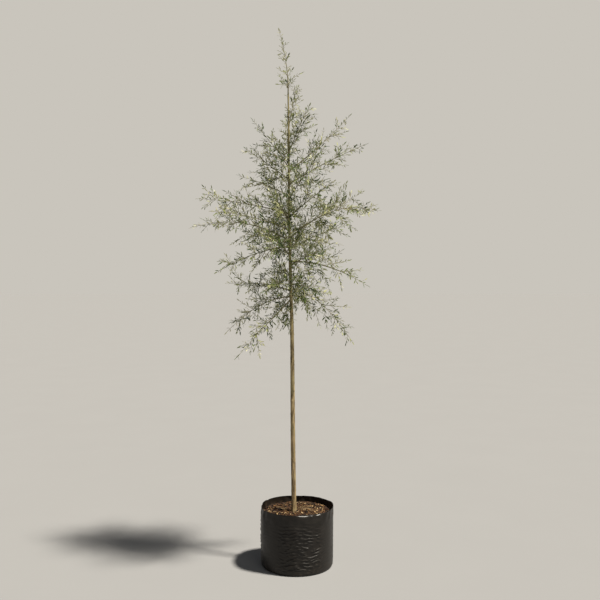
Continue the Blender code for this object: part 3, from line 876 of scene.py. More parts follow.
def grow_bag(film, inner_film):
    """The film from under the bag, up the wrinkled wall, over its rolled edge and down inside."""
    angle = np.linspace(0.0, 2.0 * math.pi, FILM_SIDES, endpoint=False)[None, :]
    corner = BAG_CORNER * (1.0 - np.cos(np.linspace(0.0, math.pi / 2.0, CORNER_STEPS)))
    wall = np.arange(BAG_CORNER + FILM_ROW, BAG_HEIGHT - ROLL_MOST, FILM_ROW)
    outside = np.concatenate((corner, wall))[:, None] + 0.0 * angle
    down = np.arange(BAG_HEIGHT - ROLL_MOST, MIX_TOP - FILM_OVERLAP, -FILM_ROW)
    inside = down[:, None] + 0.0 * angle
    roll = roll_radius(angle)
    edge = FILM_THICKNESS * ROLL_THINNED
    turns = np.linspace(0.0, ROLL_TURN, ROLL_STEPS)
    over_in, over_down = rolled_edge(roll, turns)
    back_in, back_down = rolled_edge(roll - edge, turns[::-1])
    over, back = BAG_HEIGHT + over_down, BAG_HEIGHT + back_down - edge
    heights = np.concatenate((outside, over, back, inside))
    inward = np.concatenate(
        (0.0 * outside, over_in, back_in + edge, 0.0 * inside + FILM_THICKNESS)
    )
    wave = rim_wave(angle, heights)
    radius = bag_radius(heights) + wrinkles(angle, heights) + dents(angle, heights)
    radius = radius + wave - inward
    rings = np.stack((radius * np.cos(angle), radius * np.sin(angle), heights + wave), axis=2)
    points = np.concatenate((rings.reshape(-1, 3), np.zeros((1, 3))))
    under = fan_faces(len(points) - 1, 0, FILM_SIDES, flip=True)
    work = Work()
    outer = FILM_SIDES * (len(outside) + ROLL_STEPS - 1)
    walls = ring_faces(len(heights), FILM_SIDES)
    work.add(points, (walls[:outer], under))
    work.add(np.zeros((0, 3)), (walls[outer:] - len(points),), 1)
    made = work.piece("grow_bag_film", "film", (film, inner_film), sharp=FILM_SHARP)
    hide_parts("grow_bag")


# Potting mix


def mix_height(x, y):
    """Low hummocks with lumps on them, level where the mix meets the film."""
    radius = math.hypot(x, y)
    angle = math.atan2(y, x)
    edge = 1.0 - float(smooth(*MIX_EDGE, radius))
    swells = [part * math.sin(times * angle + twist * radius) for part, times, twist in MIX_SWELLS]
    most = sum(part for part, _, _ in MIX_SWELLS)
    lumps = sum(part * noise.noise(Vector((x, y, cut)) * fine) for fine, part, cut in MIX_LUMPS)
    return MIX_TOP - MIX_SINK + edge * (MIX_HEAVE * sum(swells) / most + MIX_LUMP * lumps)


def mix_surface(finish):
    """The mix's top, as a fine uneven sheet that ends inside the film."""
    edge = float(bag_radius(MIX_TOP)) - FILM_THICKNESS / 2.0
    points = []
    for ring in range(1, MIX_RINGS + 1):
        radius = edge * ring / MIX_RINGS
        for side in range(MIX_SIDES):
            angle = 2.0 * math.pi * side / MIX_SIDES
            x, y = radius * math.cos(angle), radius * math.sin(angle)
            points.append((x, y, mix_height(x, y)))
    points.append((0.0, 0.0, mix_height(0.0, 0.0)))
    work = Work()
    middle = fan_faces(len(points) - 1, 0, MIX_SIDES)
    work.add(np.array(points), (ring_faces(MIX_RINGS, MIX_SIDES)[:, ::-1], middle))
    made = work.piece("potting_mix_surface", "potting_mix", (finish,), sharp=math.radians(60))
    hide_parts("potting_mix")


def mix_spot(draw, margin):
    """A random spot on the mix, clear of the film and of the trunk."""
    while True:
        radius = (BAG_RADIUS - margin) * math.sqrt(draw.random())
        angle = draw.uniform(0.0, 2.0 * math.pi)
        x, y = radius * math.cos(angle), radius * math.sin(angle)
        if math.hypot(x - TRUNK_LINE[0][1], y) > TRUNK_LINE[0][3] / 2.0:
            return Vector((x, y, mix_height(x, y)))


def tilted_frame(draw, lean):
    """Three directions square to each other, of which the last points nearly upwards."""
    tilt = Vector((draw.gauss(0.0, lean), draw.gauss(0.0, lean), 1.0)).normalized()
    angle = draw.uniform(0.0, 2.0 * math.pi)
    along = Vector((math.cos(angle), math.sin(angle), 0.0))
    along = (along - tilt * along.dot(tilt)).normalized()
    return along, tilt.cross(along), tilt


def skewed(draw, values, power):
    """A random value between two: the higher the power, the nearer to the first."""
    return values[0] + (values[1] - values[0]) * draw.random() ** power


def drawn_finish(draw, mulch):
    """The number of a mulch colour, as often as its share says."""
    return draw.choices(range(len(mulch)), [colour.share for colour in mulch])[0]


def mulch_piece(work, name, mulch, sharp):
    """One piece of loose mulch, with a finish for each of its colours."""
    finishes = [chip_finish(colour.name, colour.colour) for colour in mulch]
    work.piece(name, "potting_mix", finishes, sharp=sharp)


def bark_chips():
    """Torn chips that lie over one another: six-cornered plates, thicker on one side."""
    draw = random.Random(SEED + 1)
    work = Work()
    lower = tuple(range(CHIP_CORNERS))[::-1]
    upper = tuple(range(CHIP_CORNERS, 2 * CHIP_CORNERS))
    walls = ring_faces(2, CHIP_CORNERS)
    for _ in range(CHIP_COUNT):
        length = skewed(draw, CHIP_LENGTHS, CHIP_POWER)
        width = min(length, CHIP_LEAST_WIDTH + length * draw.uniform(*CHIP_SLIMNESS))
        thick = width * draw.uniform(*CHIP_FLATNESS) + CHIP_LEAST_THICKNESS
        centre = mix_spot(draw, CHIP_MARGIN + length / 2.0)
        centre.z += thick * draw.uniform(*CHIP_LIFTS) + draw.random() ** 3 * CHIP_PILE
        along, across, top = tilted_frame(draw, CHIP_LEAN)
        corners = []
        for side in range(CHIP_CORNERS):
            angle = 2.0 * math.pi * side / CHIP_CORNERS + draw.uniform(-CHIP_STRAY, CHIP_STRAY)
            out = draw.uniform(*CHIP_REACHES)
            x, y = math.cos(angle) * out * length / 2.0, math.sin(angle) * out * width / 2.0
            corners.append(centre + along * x + across * y)
        points = [corner - top * (thick / 2.0) for corner in corners]
        points += [corner + top * (thick * draw.uniform(*CHIP_TOPS)) for corner in corners]
        work.add(np.array(points), ((lower, upper), walls), drawn_finish(draw, CHIPS))
    mulch_piece(work, "bark_chips", CHIPS, math.radians(20))


def coir_fibres():
    """Curled strands of coir and slivers of wood on top of the chips."""
    draw = random.Random(SEED + 2)
    work = Work()
    for _ in range(FIBRE_COUNT):
        length = draw.uniform(*FIBRE_LENGTHS)
        along, across, top = tilted_frame(draw, FIBRE_LEAN)
        foot = mix_spot(draw, FIBRE_MARGIN + length / 2.0)
        foot.z += draw.uniform(*FIBRE_LIFT)
        curl, rise = draw.uniform(-FIBRE_CURL, FIBRE_CURL), draw.uniform(*FIBRE_RISE)
        points = []
        for share in spread(-0.5, 0.5, FIBRE_STEPS):
            bend = 0.25 - share * share
            aside = across * (bend * curl * length) + top * (bend * rise * length)
            points.append(foot + along * (share * length) + aside)
        radii = [skewed(draw, FIBRE_RADII, FIBRE_POWER)] * len(points)
        tube(work, points, radii, FIBRE_SIDES, drawn_finish(draw, FIBRES))
    mulch_piece(work, "coir_fibres", FIBRES, math.radians(40))


# Limbs


def frame_along(direction):
    """Two directions across the given one: a level one, and the one above it."""
    level = direction.cross(UP)
    if level.length < NEARLY_UPRIGHT:
        level = Vector((1.0, 0.0, 0.0))
    level.normalize()
    return level, level.cross(direction).normalized()


def tube(work, points, radii, sides, finish=0):
    """A tapering tube through the points, closed at both ends."""
    places = np.array([tuple(point) for point in points])
    ahead = np.gradient(places, axis=0)
    ahead /= np.linalg.norm(ahead, axis=1)[:, None]
    across = np.array(frame_along(Vector(ahead[0]))[0])
    angles = np.linspace(0.0, 2.0 * math.pi, sides, endpoint=False)[:, None]
    rings = []
    for place, direction, radius in zip(places, ahead, radii):
        across = across - direction * (across @ direction)
        across /= np.linalg.norm(across)
        other = np.cross(direction, across)
        rings.append(place + radius * (np.cos(angles) * across + np.sin(angles) * other))
    ends = places[[0, -1]]
    last = (len(places) - 1) * sides
    total = len(places) * sides
    foot = fan_faces(total, 0, sides, flip=True)
    tip = fan_faces(total + 1, last, sides)
    work.add(np.concatenate((*rings, ends)), (ring_faces(len(places), sides), foot, tip), finish)


def trunk_at(height):
    """The trunk's centre and radius at a height, on a smooth line through its named sizes."""
    rows = TRUNK_LINE
    k = 1
    while k < len(rows) - 2 and rows[k][0] <= height:
        k += 1
    start, end = rows[k - 1], rows[k]
    share = (height - start[0]) / (end[0] - start[0])
    before = rows[max(k - 2, 0)]
    after = rows[min(k + 1, len(rows) - 1)]
    values = []
    for column in (1, 2, 3):
        rise = end[0] - start[0]
        slope_in = (end[column] - before[column]) / (end[0] - before[0]) * rise
        slope_out = (after[column] - start[column]) / (after[0] - start[0]) * rise
        values.append(
            start[column] * (2 * share**3 - 3 * share**2 + 1)
            + slope_in * (share**3 - 2 * share**2 + share)
            + end[column] * (3 * share**2 - 2 * share**3)
            + slope_out * (share**3 - share**2)
        )
    return Vector((values[0], values[1], height)), values[2] / 2.0


def bark_bumps():
    """Leaf scars in opposite pairs up the trunk, and the knots where shoots were pruned off."""
    draw = random.Random(SEED + 3)
    bumps = []
    height = TRUNK_FOOT + SCAR_SPACING
    turn = 0.0
    while height < TRUNK_LINE[-1][0]:
        for side in (0.0, math.pi):
            rise = SCAR_RISE * draw.uniform(*SCAR_RISES)
            bumps.append((height, turn + side, SCAR_SIZE, rise))
        turn += math.pi / 2.0 + draw.uniform(-SCAR_STRAY, SCAR_STRAY)
        height += SCAR_SPACING * draw.uniform(*SCAR_SPACINGS)
    for _ in range(KNOTS):
        height = draw.uniform(*KNOT_HEIGHTS)
        turn = draw.uniform(0.0, 2.0 * math.pi)
        bumps.append((height, turn, KNOT_SIZE, KNOT_RISE * draw.uniform(*KNOT_RISES)))
    return bumps


def bark_relief(heights, angles, radii):
    """How far the bark stands out: furrows up the trunk, leaf scars and knots."""
    relief = np.zeros((len(heights), len(angles)))
    for row, (height, radius) in enumerate(zip(heights, radii)):
        for column, angle in enumerate(angles):
            x, y, z = math.cos(angle) * radius, math.sin(angle) * radius, height * FURROW_STRETCH
            furrow = sum(part * noise.noise(Vector((x, y, z)) * fine) for fine, part in FURROWS)
            relief[row, column] = BARK_FURROW * furrow
    for height, turn, size, rise in bark_bumps():
        above = (heights - height) / size
        near = np.abs(above) < 3.0
        aside = turned_from(angles, turn)
        across = aside[None, :] * np.array(radii)[near, None] / size
        relief[near] += rise * np.exp(-(above[near, None] ** 2) - across**2)
    return relief


def bark_trunk(work):
    """The trunk from just inside the mix to its tip, with the relief of its bark."""
    heights = np.arange(TRUNK_FOOT - BARK_SUNK, TRUNK_LINE[-1][0] + GAP, BARK_ROW)
    places = [trunk_at(height) for height in np.maximum(heights, TRUNK_FOOT)]
    radii = [radius for _, radius in places]
    angles = np.linspace(0.0, 2.0 * math.pi, BARK_SIDES, endpoint=False)
    relief = bark_relief(heights, angles, radii)
    radius = np.array(radii)[:, None] + relief
    x = np.array([centre.x for centre, _ in places])[:, None] + radius * np.cos(angles)
    y = np.array([centre.y for centre, _ in places])[:, None] + radius * np.sin(angles)
    z = np.broadcast_to(heights[:, None], x.shape)
    points = np.stack((x, y, z), axis=2).reshape(-1, 3)
    top = places[-1][0]
    points = np.concatenate((points, [(top.x, top.y, heights[-1])]))
    tip = fan_faces(len(points) - 1, (len(heights) - 1) * BARK_SIDES, BARK_SIDES)
    work.add(points, (ring_faces(len(heights), BARK_SIDES), tip))


class Line:
    """A smooth curve from a foot to a tip, with its middle moved aside by "sway"."""

    def __init__(self, foot, tip, sway):
        self.foot, self.tip = foot, tip
        self.bow = (foot + tip) / 2.0 + sway * 2.0
        points = self.stretch(0.0, 1.0, LINE_STEPS)
        self.length = sum((b - a).length for a, b in zip(points, points[1:]))

    def at(self, share):
        rest = 1.0 - share
        return self.foot * rest**2 + self.bow * (2.0 * rest * share) + self.tip * share**2

    def heading(self, share):
        ahead = (self.bow - self.foot) * (1.0 - share) + (self.tip - self.bow) * share
        return ahead.normalized()

    def stretch(self, start, end, steps):
        return [self.at(share) for share in spread(start, end, steps)]


def shoot_line(shoot):
    """The line of a shoot, from the trunk's middle to the end of its last leaf."""
    foot, _ = trunk_at(shoot.foot)
    angle = math.radians(shoot.bearing)
    out = Vector((math.cos(angle), math.sin(angle), 0.0)) * shoot.reach
    tip = foot + out
    tip.z = shoot.tip
    return Line(foot, tip, UP * shoot.arch)


def collar(distance):
    """How much thicker a limb is near the trunk that it grows from."""
    return COLLAR * math.exp(-max(0.0, distance) / COLLAR_LENGTH)


def bough(work, shoot, line, draw, finish):
    """The bare first part of a shoot, out of the trunk and up to where its foliage begins."""
    length = line.length * shoot.bare
    steps = max(4, round(length / BOUGH_ROW))
    trunk_radius = trunk_at(shoot.foot)[1]
    points, radii = [], []
    for share in spread(0.0, 1.0, steps):
        radius = BOUGH_FOOT_RADIUS + (BOUGH_TIP_RADIUS - BOUGH_FOOT_RADIUS) * share
        radius += collar(share * length - trunk_radius)
        points.append(line.at(share * shoot.bare))
        radii.append(radius * draw.uniform(*BOUGH_GIRTHS))
    tube(work, points, radii, BOUGH_SIDES, finish)


# Foliage: the masses, as the solids' rule grows them


def rod_distance(start, end, starts, ends):
    """The shortest distance from one straight rod to each of many."""
    along, others = end - start, ends - starts
    between = start - starts
    own_square = along @ along
    squares = np.einsum("ij,ij->i", others, others)
    reach = np.einsum("ij,ij->i", others, between)
    slant = between @ along
    both = others @ along
    across = np.maximum(own_square * squares - both * both, TINY)
    s = np.clip((both * reach - slant * squares) / across, 0.0, 1.0)
    t = np.clip((both * s + reach) / squares, 0.0, 1.0)
    s = np.clip((both * t - slant) / own_square, 0.0, 1.0)
    apart = start + s[:, None] * along - (starts + t[:, None] * others)
    return np.sqrt(np.einsum("ij,ij->i", apart, apart))


class Taken:
    """The space that limbs, twigs and sprays already take, as straight rods."""

    def __init__(self):
        self.rods = []
        self.stacked = None

    def add(self, points, radius):
        for start, end in zip(points, points[1:]):
            self.rods.append((*start, *end, radius))
        self.stacked = None

    def is_free(self, start, end, radius, skip=()):
        """Whether a rod would stay clear of all the others but the skipped ones."""
        if self.stacked is None:
            self.stacked = np.array(self.rods)
        rods = self.stacked
        apart = rod_distance(np.array(start), np.array(end), rods[:, :3], rods[:, 3:6])
        clear = apart - rods[:, 6] - radius > CLEARANCE
        clear[list(skip)] = True
        return bool(clear.all())


def square_to(direction, turn):
    """A direction square to the given one, on the side "turn" names."""
    level, above = frame_along(direction)
    return level * math.cos(turn) + above * math.sin(turn)


def turned_aside(direction, turn, opening):
    """A direction that leaves the given one at an opening angle, on the side "turn" names."""
    out = square_to(direction, turn)
    return direction * math.cos(opening) + out * math.sin(opening)


class Mass:
    """One mass of foliage: a stem, the twigs on it, and where sprays grow on both."""

    def __init__(self, line, start, bushy, number, taken):
        self.line, self.start, self.bushy, self.taken = line, start, bushy, taken
        self.draw = random.Random(SEED * 1000 + number)
        self.sprays, self.twigs = [], []
        self.end = 1.0 - SPRAY_LENGTH / line.length
        self.steps = max(2, round(line.length * (1.0 - start) / STEM_STEP))
        first = start + (GAP / 2.0 / line.length if start else 0.0)
        self.points = line.stretch(first, self.end, self.steps)

    def stem_at(self, share):
        """A point on the stem's middle line, which runs straight from ring to ring."""
        part = (share - self.start) / (self.end - self.start) * self.steps
        k = min(int(part), self.steps - 1)
        return self.points[k].lerp(self.points[k + 1], part - k)

    def in_room(self, point):
        """Whether a point is near enough to the stem and no further out than the tip."""
        line = self.line
        near = min((place - point).length for place in line.stretch(0.0, 1.0, LINE_STEPS))
        beyond = (point - line.tip).dot(line.heading(1.0))
        return near < MASS_ROOM and beyond < OVERREACH

    def add_spray(self, origin, heading, radius, own):
        """Notes a spray at a point of a twig's middle line, if there is room for it.

        The solids' rule turns its leaf by a random roll here. A spray has no use for it, and
        it is drawn only to keep all later draws the same.
        """
        self.draw.uniform(-SPRAY_ROLL, SPRAY_ROLL)
        root = origin - heading * (SPRAY_SUNK * radius)
        tip = root + heading * SPRAY_LENGTH
        base = origin + heading * SPRAY_STALK
        if not self.in_room(tip) or not self.taken.is_free(base, tip, SPRAY_HALF, own):
            return
        self.sprays.append((root, tip))
        self.taken.add((base, tip), SPRAY_HALF)

    def add_spray_pairs(self, place, heading, length, radius, own):
        """Sprays in pairs up a stem or twig, each pair turned from the one before."""
        count = max(1, int(length * (1.0 - SPRAY_BARE) / SPRAY_SPACING))
        turn = self.draw.uniform(0.0, math.pi)
        for k in range(count):
            share = SPRAY_BARE + (1.0 - SPRAY_BARE) * (k + PAIR_OFFSET) / count
            along = heading(share)
            for side in (0, 1):
                angle = turn + math.pi * side + self.draw.uniform(-PAIR_STRAY, PAIR_STRAY)
                opening = SPRAY_OPENING * self.draw.uniform(*SPRAY_OPENINGS)
                spray = turned_aside(along, angle, opening)
                origin = place(min(share + side * SPRAY_STAGGER / length, LAST_PAIR))
                self.add_spray(origin, spray, radius, own)
            turn += math.pi / 2.0 + self.draw.uniform(-PAIR_STRAY, PAIR_STRAY)

    def add_twig(self, share, turn, own):
        """A side twig: the nearer the tip it starts, the shorter it is, and the last have none."""
        line = self.line
        opening = TWIG_OPENING * self.draw.uniform(*TWIG_OPENINGS)
        along = turned_aside(line.heading(share), turn, opening)
        rest = line.length * (1.0 - share)
        length = min(TWIG_MOST, TWIG_SHARE * rest) * self.bushy * self.draw.uniform(*TWIG_LENGTHS)
        if length < TWIG_LEAST:
            return
        origin = self.stem_at(share)
        base = origin + along * TWIG_STALK
        tip = origin + along * length
        if not self.in_room(tip) or not self.taken.is_free(base, tip, TWIG_RADIUS, own):
            return
        self.twigs.append((origin, tip))
        own_rods = (*own, len(self.taken.rods))
        self.taken.add((base, tip), TWIG_RADIUS)

        def place(part):
            return origin + along * (length * part)

        self.add_spray(place(TWIG_END), along, TWIG_TIP_RADIUS, own_rods)
        self.add_spray_pairs(place, lambda part: along, length, TWIG_RADIUS, own_rods)

    def grow(self, own):
        """The spray at the tip comes first, then the side twigs, and then the stem's own."""
        leafy = self.end - self.start

        def place(part):
            return self.stem_at(self.start + leafy * part)

        def heading(part):
            return self.line.heading(self.start + leafy * part)

        self.add_spray(place(STEM_END), heading(1.0), STEM_TIP_RADIUS, own)
        length = self.line.length * leafy
        count = max(1, round(length / TWIG_SPACING))
        turn = self.draw.uniform(0.0, 2.0 * math.pi)
        for k in range(count):
            self.add_twig(self.start + leafy * (k + TWIG_OFFSET) / count, turn, own)
            turn += GOLDEN_ANGLE + self.draw.uniform(-TWIG_STRAY, TWIG_STRAY)
        self.add_spray_pairs(place, heading, length, STEM_RADIUS, own)


def grown_masses():
    """Every mass with its twigs and sprays, in the order of the solids."""
    taken = Taken()
    flare = [row[0] for row in TRUNK_LINE[:2]]
    heights = flare + spread(TRUNK_LINE[2][0], TRUNK_LINE[-1][0], TRUNK_RINGS)
    places = [trunk_at(height) for height in heights]
    for (low, radius), (high, _) in zip(places, places[1:]):
        taken.add((low, high), radius)
    masses = []
    for number, shoot in enumerate(SHOOTS, start=1):
        masses.append(Mass(shoot_line(shoot), shoot.bare, shoot.bushy, number, taken))
    top = trunk_at(TRUNK_LINE[-1][0])[0] + Vector((0.0, 0.0, GAP))
    leader = Line(top, top + LEADER_TIP, LEADER_SWAY)
    masses.append(Mass(leader, 0.0, LEADER_BUSHY, len(masses) + 1, taken))
    own_rods = []
    for mass in masses:
        first = len(taken.rods)
        taken.add(mass.line.stretch(0.0, mass.end, STEM_RODS), STEM_ROD_RADIUS)
        own_rods.append(tuple(range(first, len(taken.rods))))
    for mass, own in zip(masses, own_rods):
        mass.grow(own)
    return masses


# Foliage: the finer twigs and the leaves


Leaf = namedtuple("Leaf", "root heading across face length width curl fold tint")


def touches_trunk(point):
    """Whether a point is in the trunk or nearly touches it."""
    if not TRUNK_FOOT < point.z < TRUNK_LINE[-1][0]:
        return False
    centre, radius = trunk_at(point.z)
    return (point - centre).length < radius + TRUNK_MARGIN


def in_box(point):
    """Whether a point stays inside the space that the solids take up."""
    return all(low <= value <= high for low, value, high in zip(cad_low, point, cad_high))


def add_leaf(leaves, root, heading, ahead, length, tint, draw):
    """Adds one leaf whose upper face turns to the light and to the tip of its shoot."""
    tilt = Vector([draw.gauss(0.0, LEAF_TILT) for _ in range(3)])
    face = ahead * LEAF_TO_TIP + UP * LEAF_TO_SKY + tilt
    face = (face - heading * face.dot(heading)).normalized()
    across = heading.cross(face)
    middle, tip = root + heading * (length * 0.5), root + heading * length
    if touches_trunk(middle) or touches_trunk(tip) or not in_box(tip) or not in_box(middle):
        return
    width = length * LEAF_SLIMNESS * draw.uniform(*LEAF_WIDTHS)
    curl, fold = draw.uniform(*LEAF_CURLS), draw.uniform(*LEAF_FOLDS)
    leaves.append(Leaf(root, heading, across, face, length, width, curl, fold, tint))


def add_leaf_pairs(leaves, line, leafing, tint, draw, start=0.0, end=1.0):
    """Leaves in opposite pairs up a limb, or up the part of it from "start" to "end"."""
    first = start + (end - start) * leafing.first
    last = start + (end - start) * leafing.last
    count = max(1, round(line.length * (last - first) / leafing.spacing))
    turn = draw.uniform(0.0, math.pi)
    for k in range(count):
        part = (k + 0.5) / count
        share = first + (last - first) * part
        ahead = line.heading(share)
        swell = math.sin(math.pi * min(1.0, part + 0.25))
        grown = leafing.size * (LEAF_SMALLEST + (1.0 - LEAF_SMALLEST) * swell)
        wider = LEAF_OPENING_FOOT + (LEAF_OPENING_TIP - LEAF_OPENING_FOOT) * part
        opening = LEAF_OPENING * wider
        for side in (0, 1):
            if draw.random() < LEAF_MISSING:
                continue
            angle = turn + math.pi * side + draw.uniform(-LEAF_STRAY, LEAF_STRAY)
            heading = turned_aside(ahead, angle, opening * draw.uniform(*LEAF_OPENINGS))
            length = LEAF_LENGTH * grown * (LEAF_LEAST + LEAF_SPREAD * draw.random() ** 2)
            root = line.at(min(1.0, share + side * LEAF_STAGGER / line.length))
            add_leaf(leaves, root, heading, ahead, length, tint, draw)
        turn += math.pi / 2.0 + draw.uniform(-LEAF_PAIR_STRAY, LEAF_PAIR_STRAY)


def swayed_line(foot, tip, share, draw):
    """A twig's line, bowed a little to a random side."""
    sway = square_to((tip - foot).normalized(), draw.uniform(0.0, 2.0 * math.pi))
    return Line(foot, tip, sway * ((tip - foot).length * share))


def tint_with_painted_light(place, draw):
    """A spray's tint, likely paler further out: painted light outside, painted shade within."""
    out = min(1.0, math.hypot(place.x - CROWN_MIDDLE, place.y) / OUTER_REACH)
    out = max(out, min(1.0, (place.z - CROWN_SHOULDER) / OUTER_REACH))
    shares = [tint.inner + (tint.outer - tint.inner) * out for tint in TINTS]
    return draw.choices(range(len(TINTS)), shares)[0]


def add_spray(leaves, twigs, root, tip, draw):
    """A short twig with its pairs of leaves. The leaf at its end stops at the spray's tip."""
    tint = tint_with_painted_light(tip, draw)
    end = root.lerp(tip, SPRAY_TWIG_SHARE)
    line = swayed_line(root, end, SPRAY_SWAY, draw)
    radii = spread(SPRAY_RADIUS, SHOOT_TIP_RADIUS, SPRAY_STEPS)
    tube(twigs, line.stretch(0.0, 1.0, SPRAY_STEPS), radii, FINE_SIDES)
    add_leaf_pairs(leaves, line, SPRAY_LEAFING, tint, draw)
    last = tip - end
    ahead = last.normalized()
    add_leaf(leaves, end, ahead, ahead, last.length * SPRAY_LEAF_SHARE, tint, draw)


def add_fine_twigs(leaves, twigs, mass, line, first, fine, draw):
    """Thin leafy twigs all round a limb, shorter towards its end. The longer ones branch."""
    fullness = min(1.0, mass.bushy + FINE_SPARE)
    count = max(1, round(line.length * (1.0 - first) / fine.spacing * fullness))
    turn = draw.uniform(0.0, 2.0 * math.pi)
    for k in range(count):
        part = (k + draw.uniform(*FINE_PLACES)) / count
        share = first + (1.0 - first) * part**fine.crowding
        turn += GOLDEN_ANGLE + draw.uniform(-FINE_STRAY, FINE_STRAY)
        opening = FINE_OPENING * draw.uniform(*FINE_OPENINGS)
        heading = turned_aside(line.heading(share), turn, opening)
        length = min(fine.most, line.length * (1.0 - share) * fine.share)
        length *= mass.bushy * draw.uniform(*FINE_LENGTHS)
        root = line.at(share)
        tip = root + heading * length
        if length < fine.least or touches_trunk(tip) or not in_box(tip) or not mass.in_room(tip):
            continue
        twig = swayed_line(root, tip, FINE_SWAY, draw)
        steps = max(2, round(length / FINE_ROW))
        radii = spread(SPRAY_RADIUS, SHOOT_TIP_RADIUS, steps)
        tube(twigs, twig.stretch(0.0, 1.0, steps), radii, FINE_SIDES)
        tint = tint_with_painted_light(tip, draw)
        add_leaf_pairs(leaves, twig, FINE_LEAFING, tint, draw)
        ahead = twig.heading(1.0)
        add_leaf(leaves, tip, ahead, ahead, LEAF_LENGTH * draw.uniform(*END_LEAVES), tint, draw)
        if length > fine.branched:
            add_fine_twigs(leaves, twigs, mass, twig, FINE_BARE_FINE, FINE_ON_FINE, draw)


def add_mass(leaves, twigs, mass, shoot, draw):
    """The stem, twigs and sprays of one mass, with the leaves that stems and twigs carry."""
    line = mass.line
    foot_radius = BOUGH_TIP_RADIUS if mass.start else STEM_RADIUS
    foot_radius = foot_radius if shoot else LEADER_RADIUS
    trunk_radius = trunk_at(shoot.foot)[1] if shoot else 0.0
    leafy = mass.end - mass.start
    steps = max(6, round(line.length * leafy / STEM_ROW))
    radii = []
    for k in range(steps + 1):
        slimmer = (1.0 - k / steps) ** STEM_TAPER
        radius = SHOOT_TIP_RADIUS + (foot_radius - SHOOT_TIP_RADIUS) * slimmer
        out = line.length * (mass.start + leafy * k / steps)
        swell = collar(out - trunk_radius) * STEM_COLLAR if shoot and not mass.start else 0.0
        radii.append((radius + swell) * draw.uniform(*STEM_GIRTHS))
    tube(twigs, line.stretch(mass.start, mass.end, steps), radii, STEM_SIDES)
    tint = tint_with_painted_light(line.at(0.6), draw)
    add_leaf_pairs(leaves, line, STEM_LEAFING, tint, draw, mass.start, mass.end)
    for foot, tip in mass.twigs:
        twig = swayed_line(foot, tip, TWIG_SWAY, draw)
        radii = spread(TWIG_RADIUS, SHOOT_TIP_RADIUS, TWIG_STEPS)
        tube(twigs, twig.stretch(0.0, 1.0, TWIG_STEPS), radii, TWIG_SIDES)
        tint = tint_with_painted_light(tip, draw)
        add_leaf_pairs(leaves, twig, TWIG_LEAFING, tint, draw)
        add_fine_twigs(leaves, twigs, mass, twig, FINE_BARE_TWIG, FINE_ON_TWIG, draw)
    for root, tip in mass.sprays:
        add_spray(leaves, twigs, root, tip, draw)
    fine = FINE_ON_STEEP if shoot and line.heading(0.5).z > STEEP else FINE_ON_STEM
    add_fine_twigs(leaves, twigs, mass, line, FINE_BARE_STEM / line.length, fine, draw)


def leaf_block():
    """One leaf's points, as (along, across, up, thickness) shares, and its faces."""
    points = [(0.0, 0.0, 0.0, 0.0)]
    for along, width in LEAF_STATIONS:
        points.append((along, -width, width, 0.0))
        points.append((along, width, width, 0.0))
        points.append((along, 0.0, 0.0, 0.5))
        points.append((along, 0.0, 0.0, -0.5))
    points.append((1.0, 0.0, 0.0, 0.0))
    last = len(points) - 1
    above_ends = [(0, 3, 1), (0, 2, 3), (last, last - 4, last - 2), (last, last - 2, last - 3)]
    below_ends = [(0, 1, 4), (0, 4, 2), (last, last - 1, last - 4), (last, last - 3, last - 1)]
    above, below = [], []
    for k in range(len(LEAF_STATIONS) - 1):
        left, right, top, under = (1 + 4 * k + step for step in range(4))
        above += [(left, top, top + 4, left + 4), (top, right, right + 4, top + 4)]
        below += [(left + 4, under + 4, under, left), (under + 4, right + 4, right, under)]
    return np.array(points), above, above_ends, below, below_ends


def leaf_piece(name, leaves, nodes, finishes):
    """One piece of many leaves. Upper faces and undersides have finishes of their own."""
    block, above, above_ends, below, below_ends = leaf_block()
    rows = len(leaves)
    root, heading, across, face = (
        np.array([tuple(leaf[k]) for leaf in leaves])[:, None, :] for k in range(4)
    )
    length, width, curl, fold = (
        np.array([leaf[k] for leaf in leaves])[:, None, None] for k in range(4, 8)
    )
    tint = np.array([leaf.tint for leaf in leaves])
    along, aside, raised, thick = (block[None, :, k, None] for k in range(4))
    points = root + heading * along * length + across * aside * width / 2.0
    lift = raised * fold * width / 2.0 - curl * length * along**2 + thick * LEAF_THICKNESS
    points = (points + face * lift).reshape(-1, 3)
    starts = np.arange(rows)[:, None, None] * len(block)
    work = Work()
    work.points.append(points)
    for faces, shift in ((above, 0), (above_ends, 0), (below, 1), (below_ends, 1)):
        faces = np.array(faces)
        work.faces.append((faces[None] + starts).reshape(-1, faces.shape[1]))
        work.finishes.append(np.repeat(tint * 2 + shift, len(faces)))
    made = work.piece(name, "leaf", finishes, sharp=math.radians(75))
    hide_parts(*nodes)


def crown():
    """The trunk, boughs, twigs and leaves. The leaves are four pieces, from the lowest up."""
    wood, twigs = Work(), Work()
    bark_trunk(wood)
    masses = grown_masses()
    shoots = [*SHOOTS, None]
    foliage = sorted(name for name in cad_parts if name.startswith("foliage_"))
    finishes = [make(tint) for tint in TINTS for make in (leaf_above, leaf_below)]
    for number, (mass, shoot) in enumerate(zip(masses, shoots)):
        if mass.start:
            bough(wood, shoot, mass.line, random.Random(SEED * 3000 + number), 1)
    ends = [first for _, first in LEAF_PIECES[1:]] + [len(masses)]
    for (name, first), last in zip(LEAF_PIECES, ends):
        leaves = []
        for number in range(first, last):
            draw = random.Random(SEED * 2000 + number)
            add_mass(leaves, twigs, masses[number], shoots[number], draw)
        leaf_piece(name, leaves, foliage[first:last], finishes)
    twigs.piece("twigs", "leaf", (twig_bark(),))
    # The boughs' bark is darker partly as painted shade inside the crown.
    barks = (olive_bark(), young_bark())
    made = wood.piece("trunk_and_boughs", "bark", barks, sharp=math.radians(60))
    limbs = [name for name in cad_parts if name.startswith("bough_")]
    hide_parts("trunk", *limbs)


# Stage


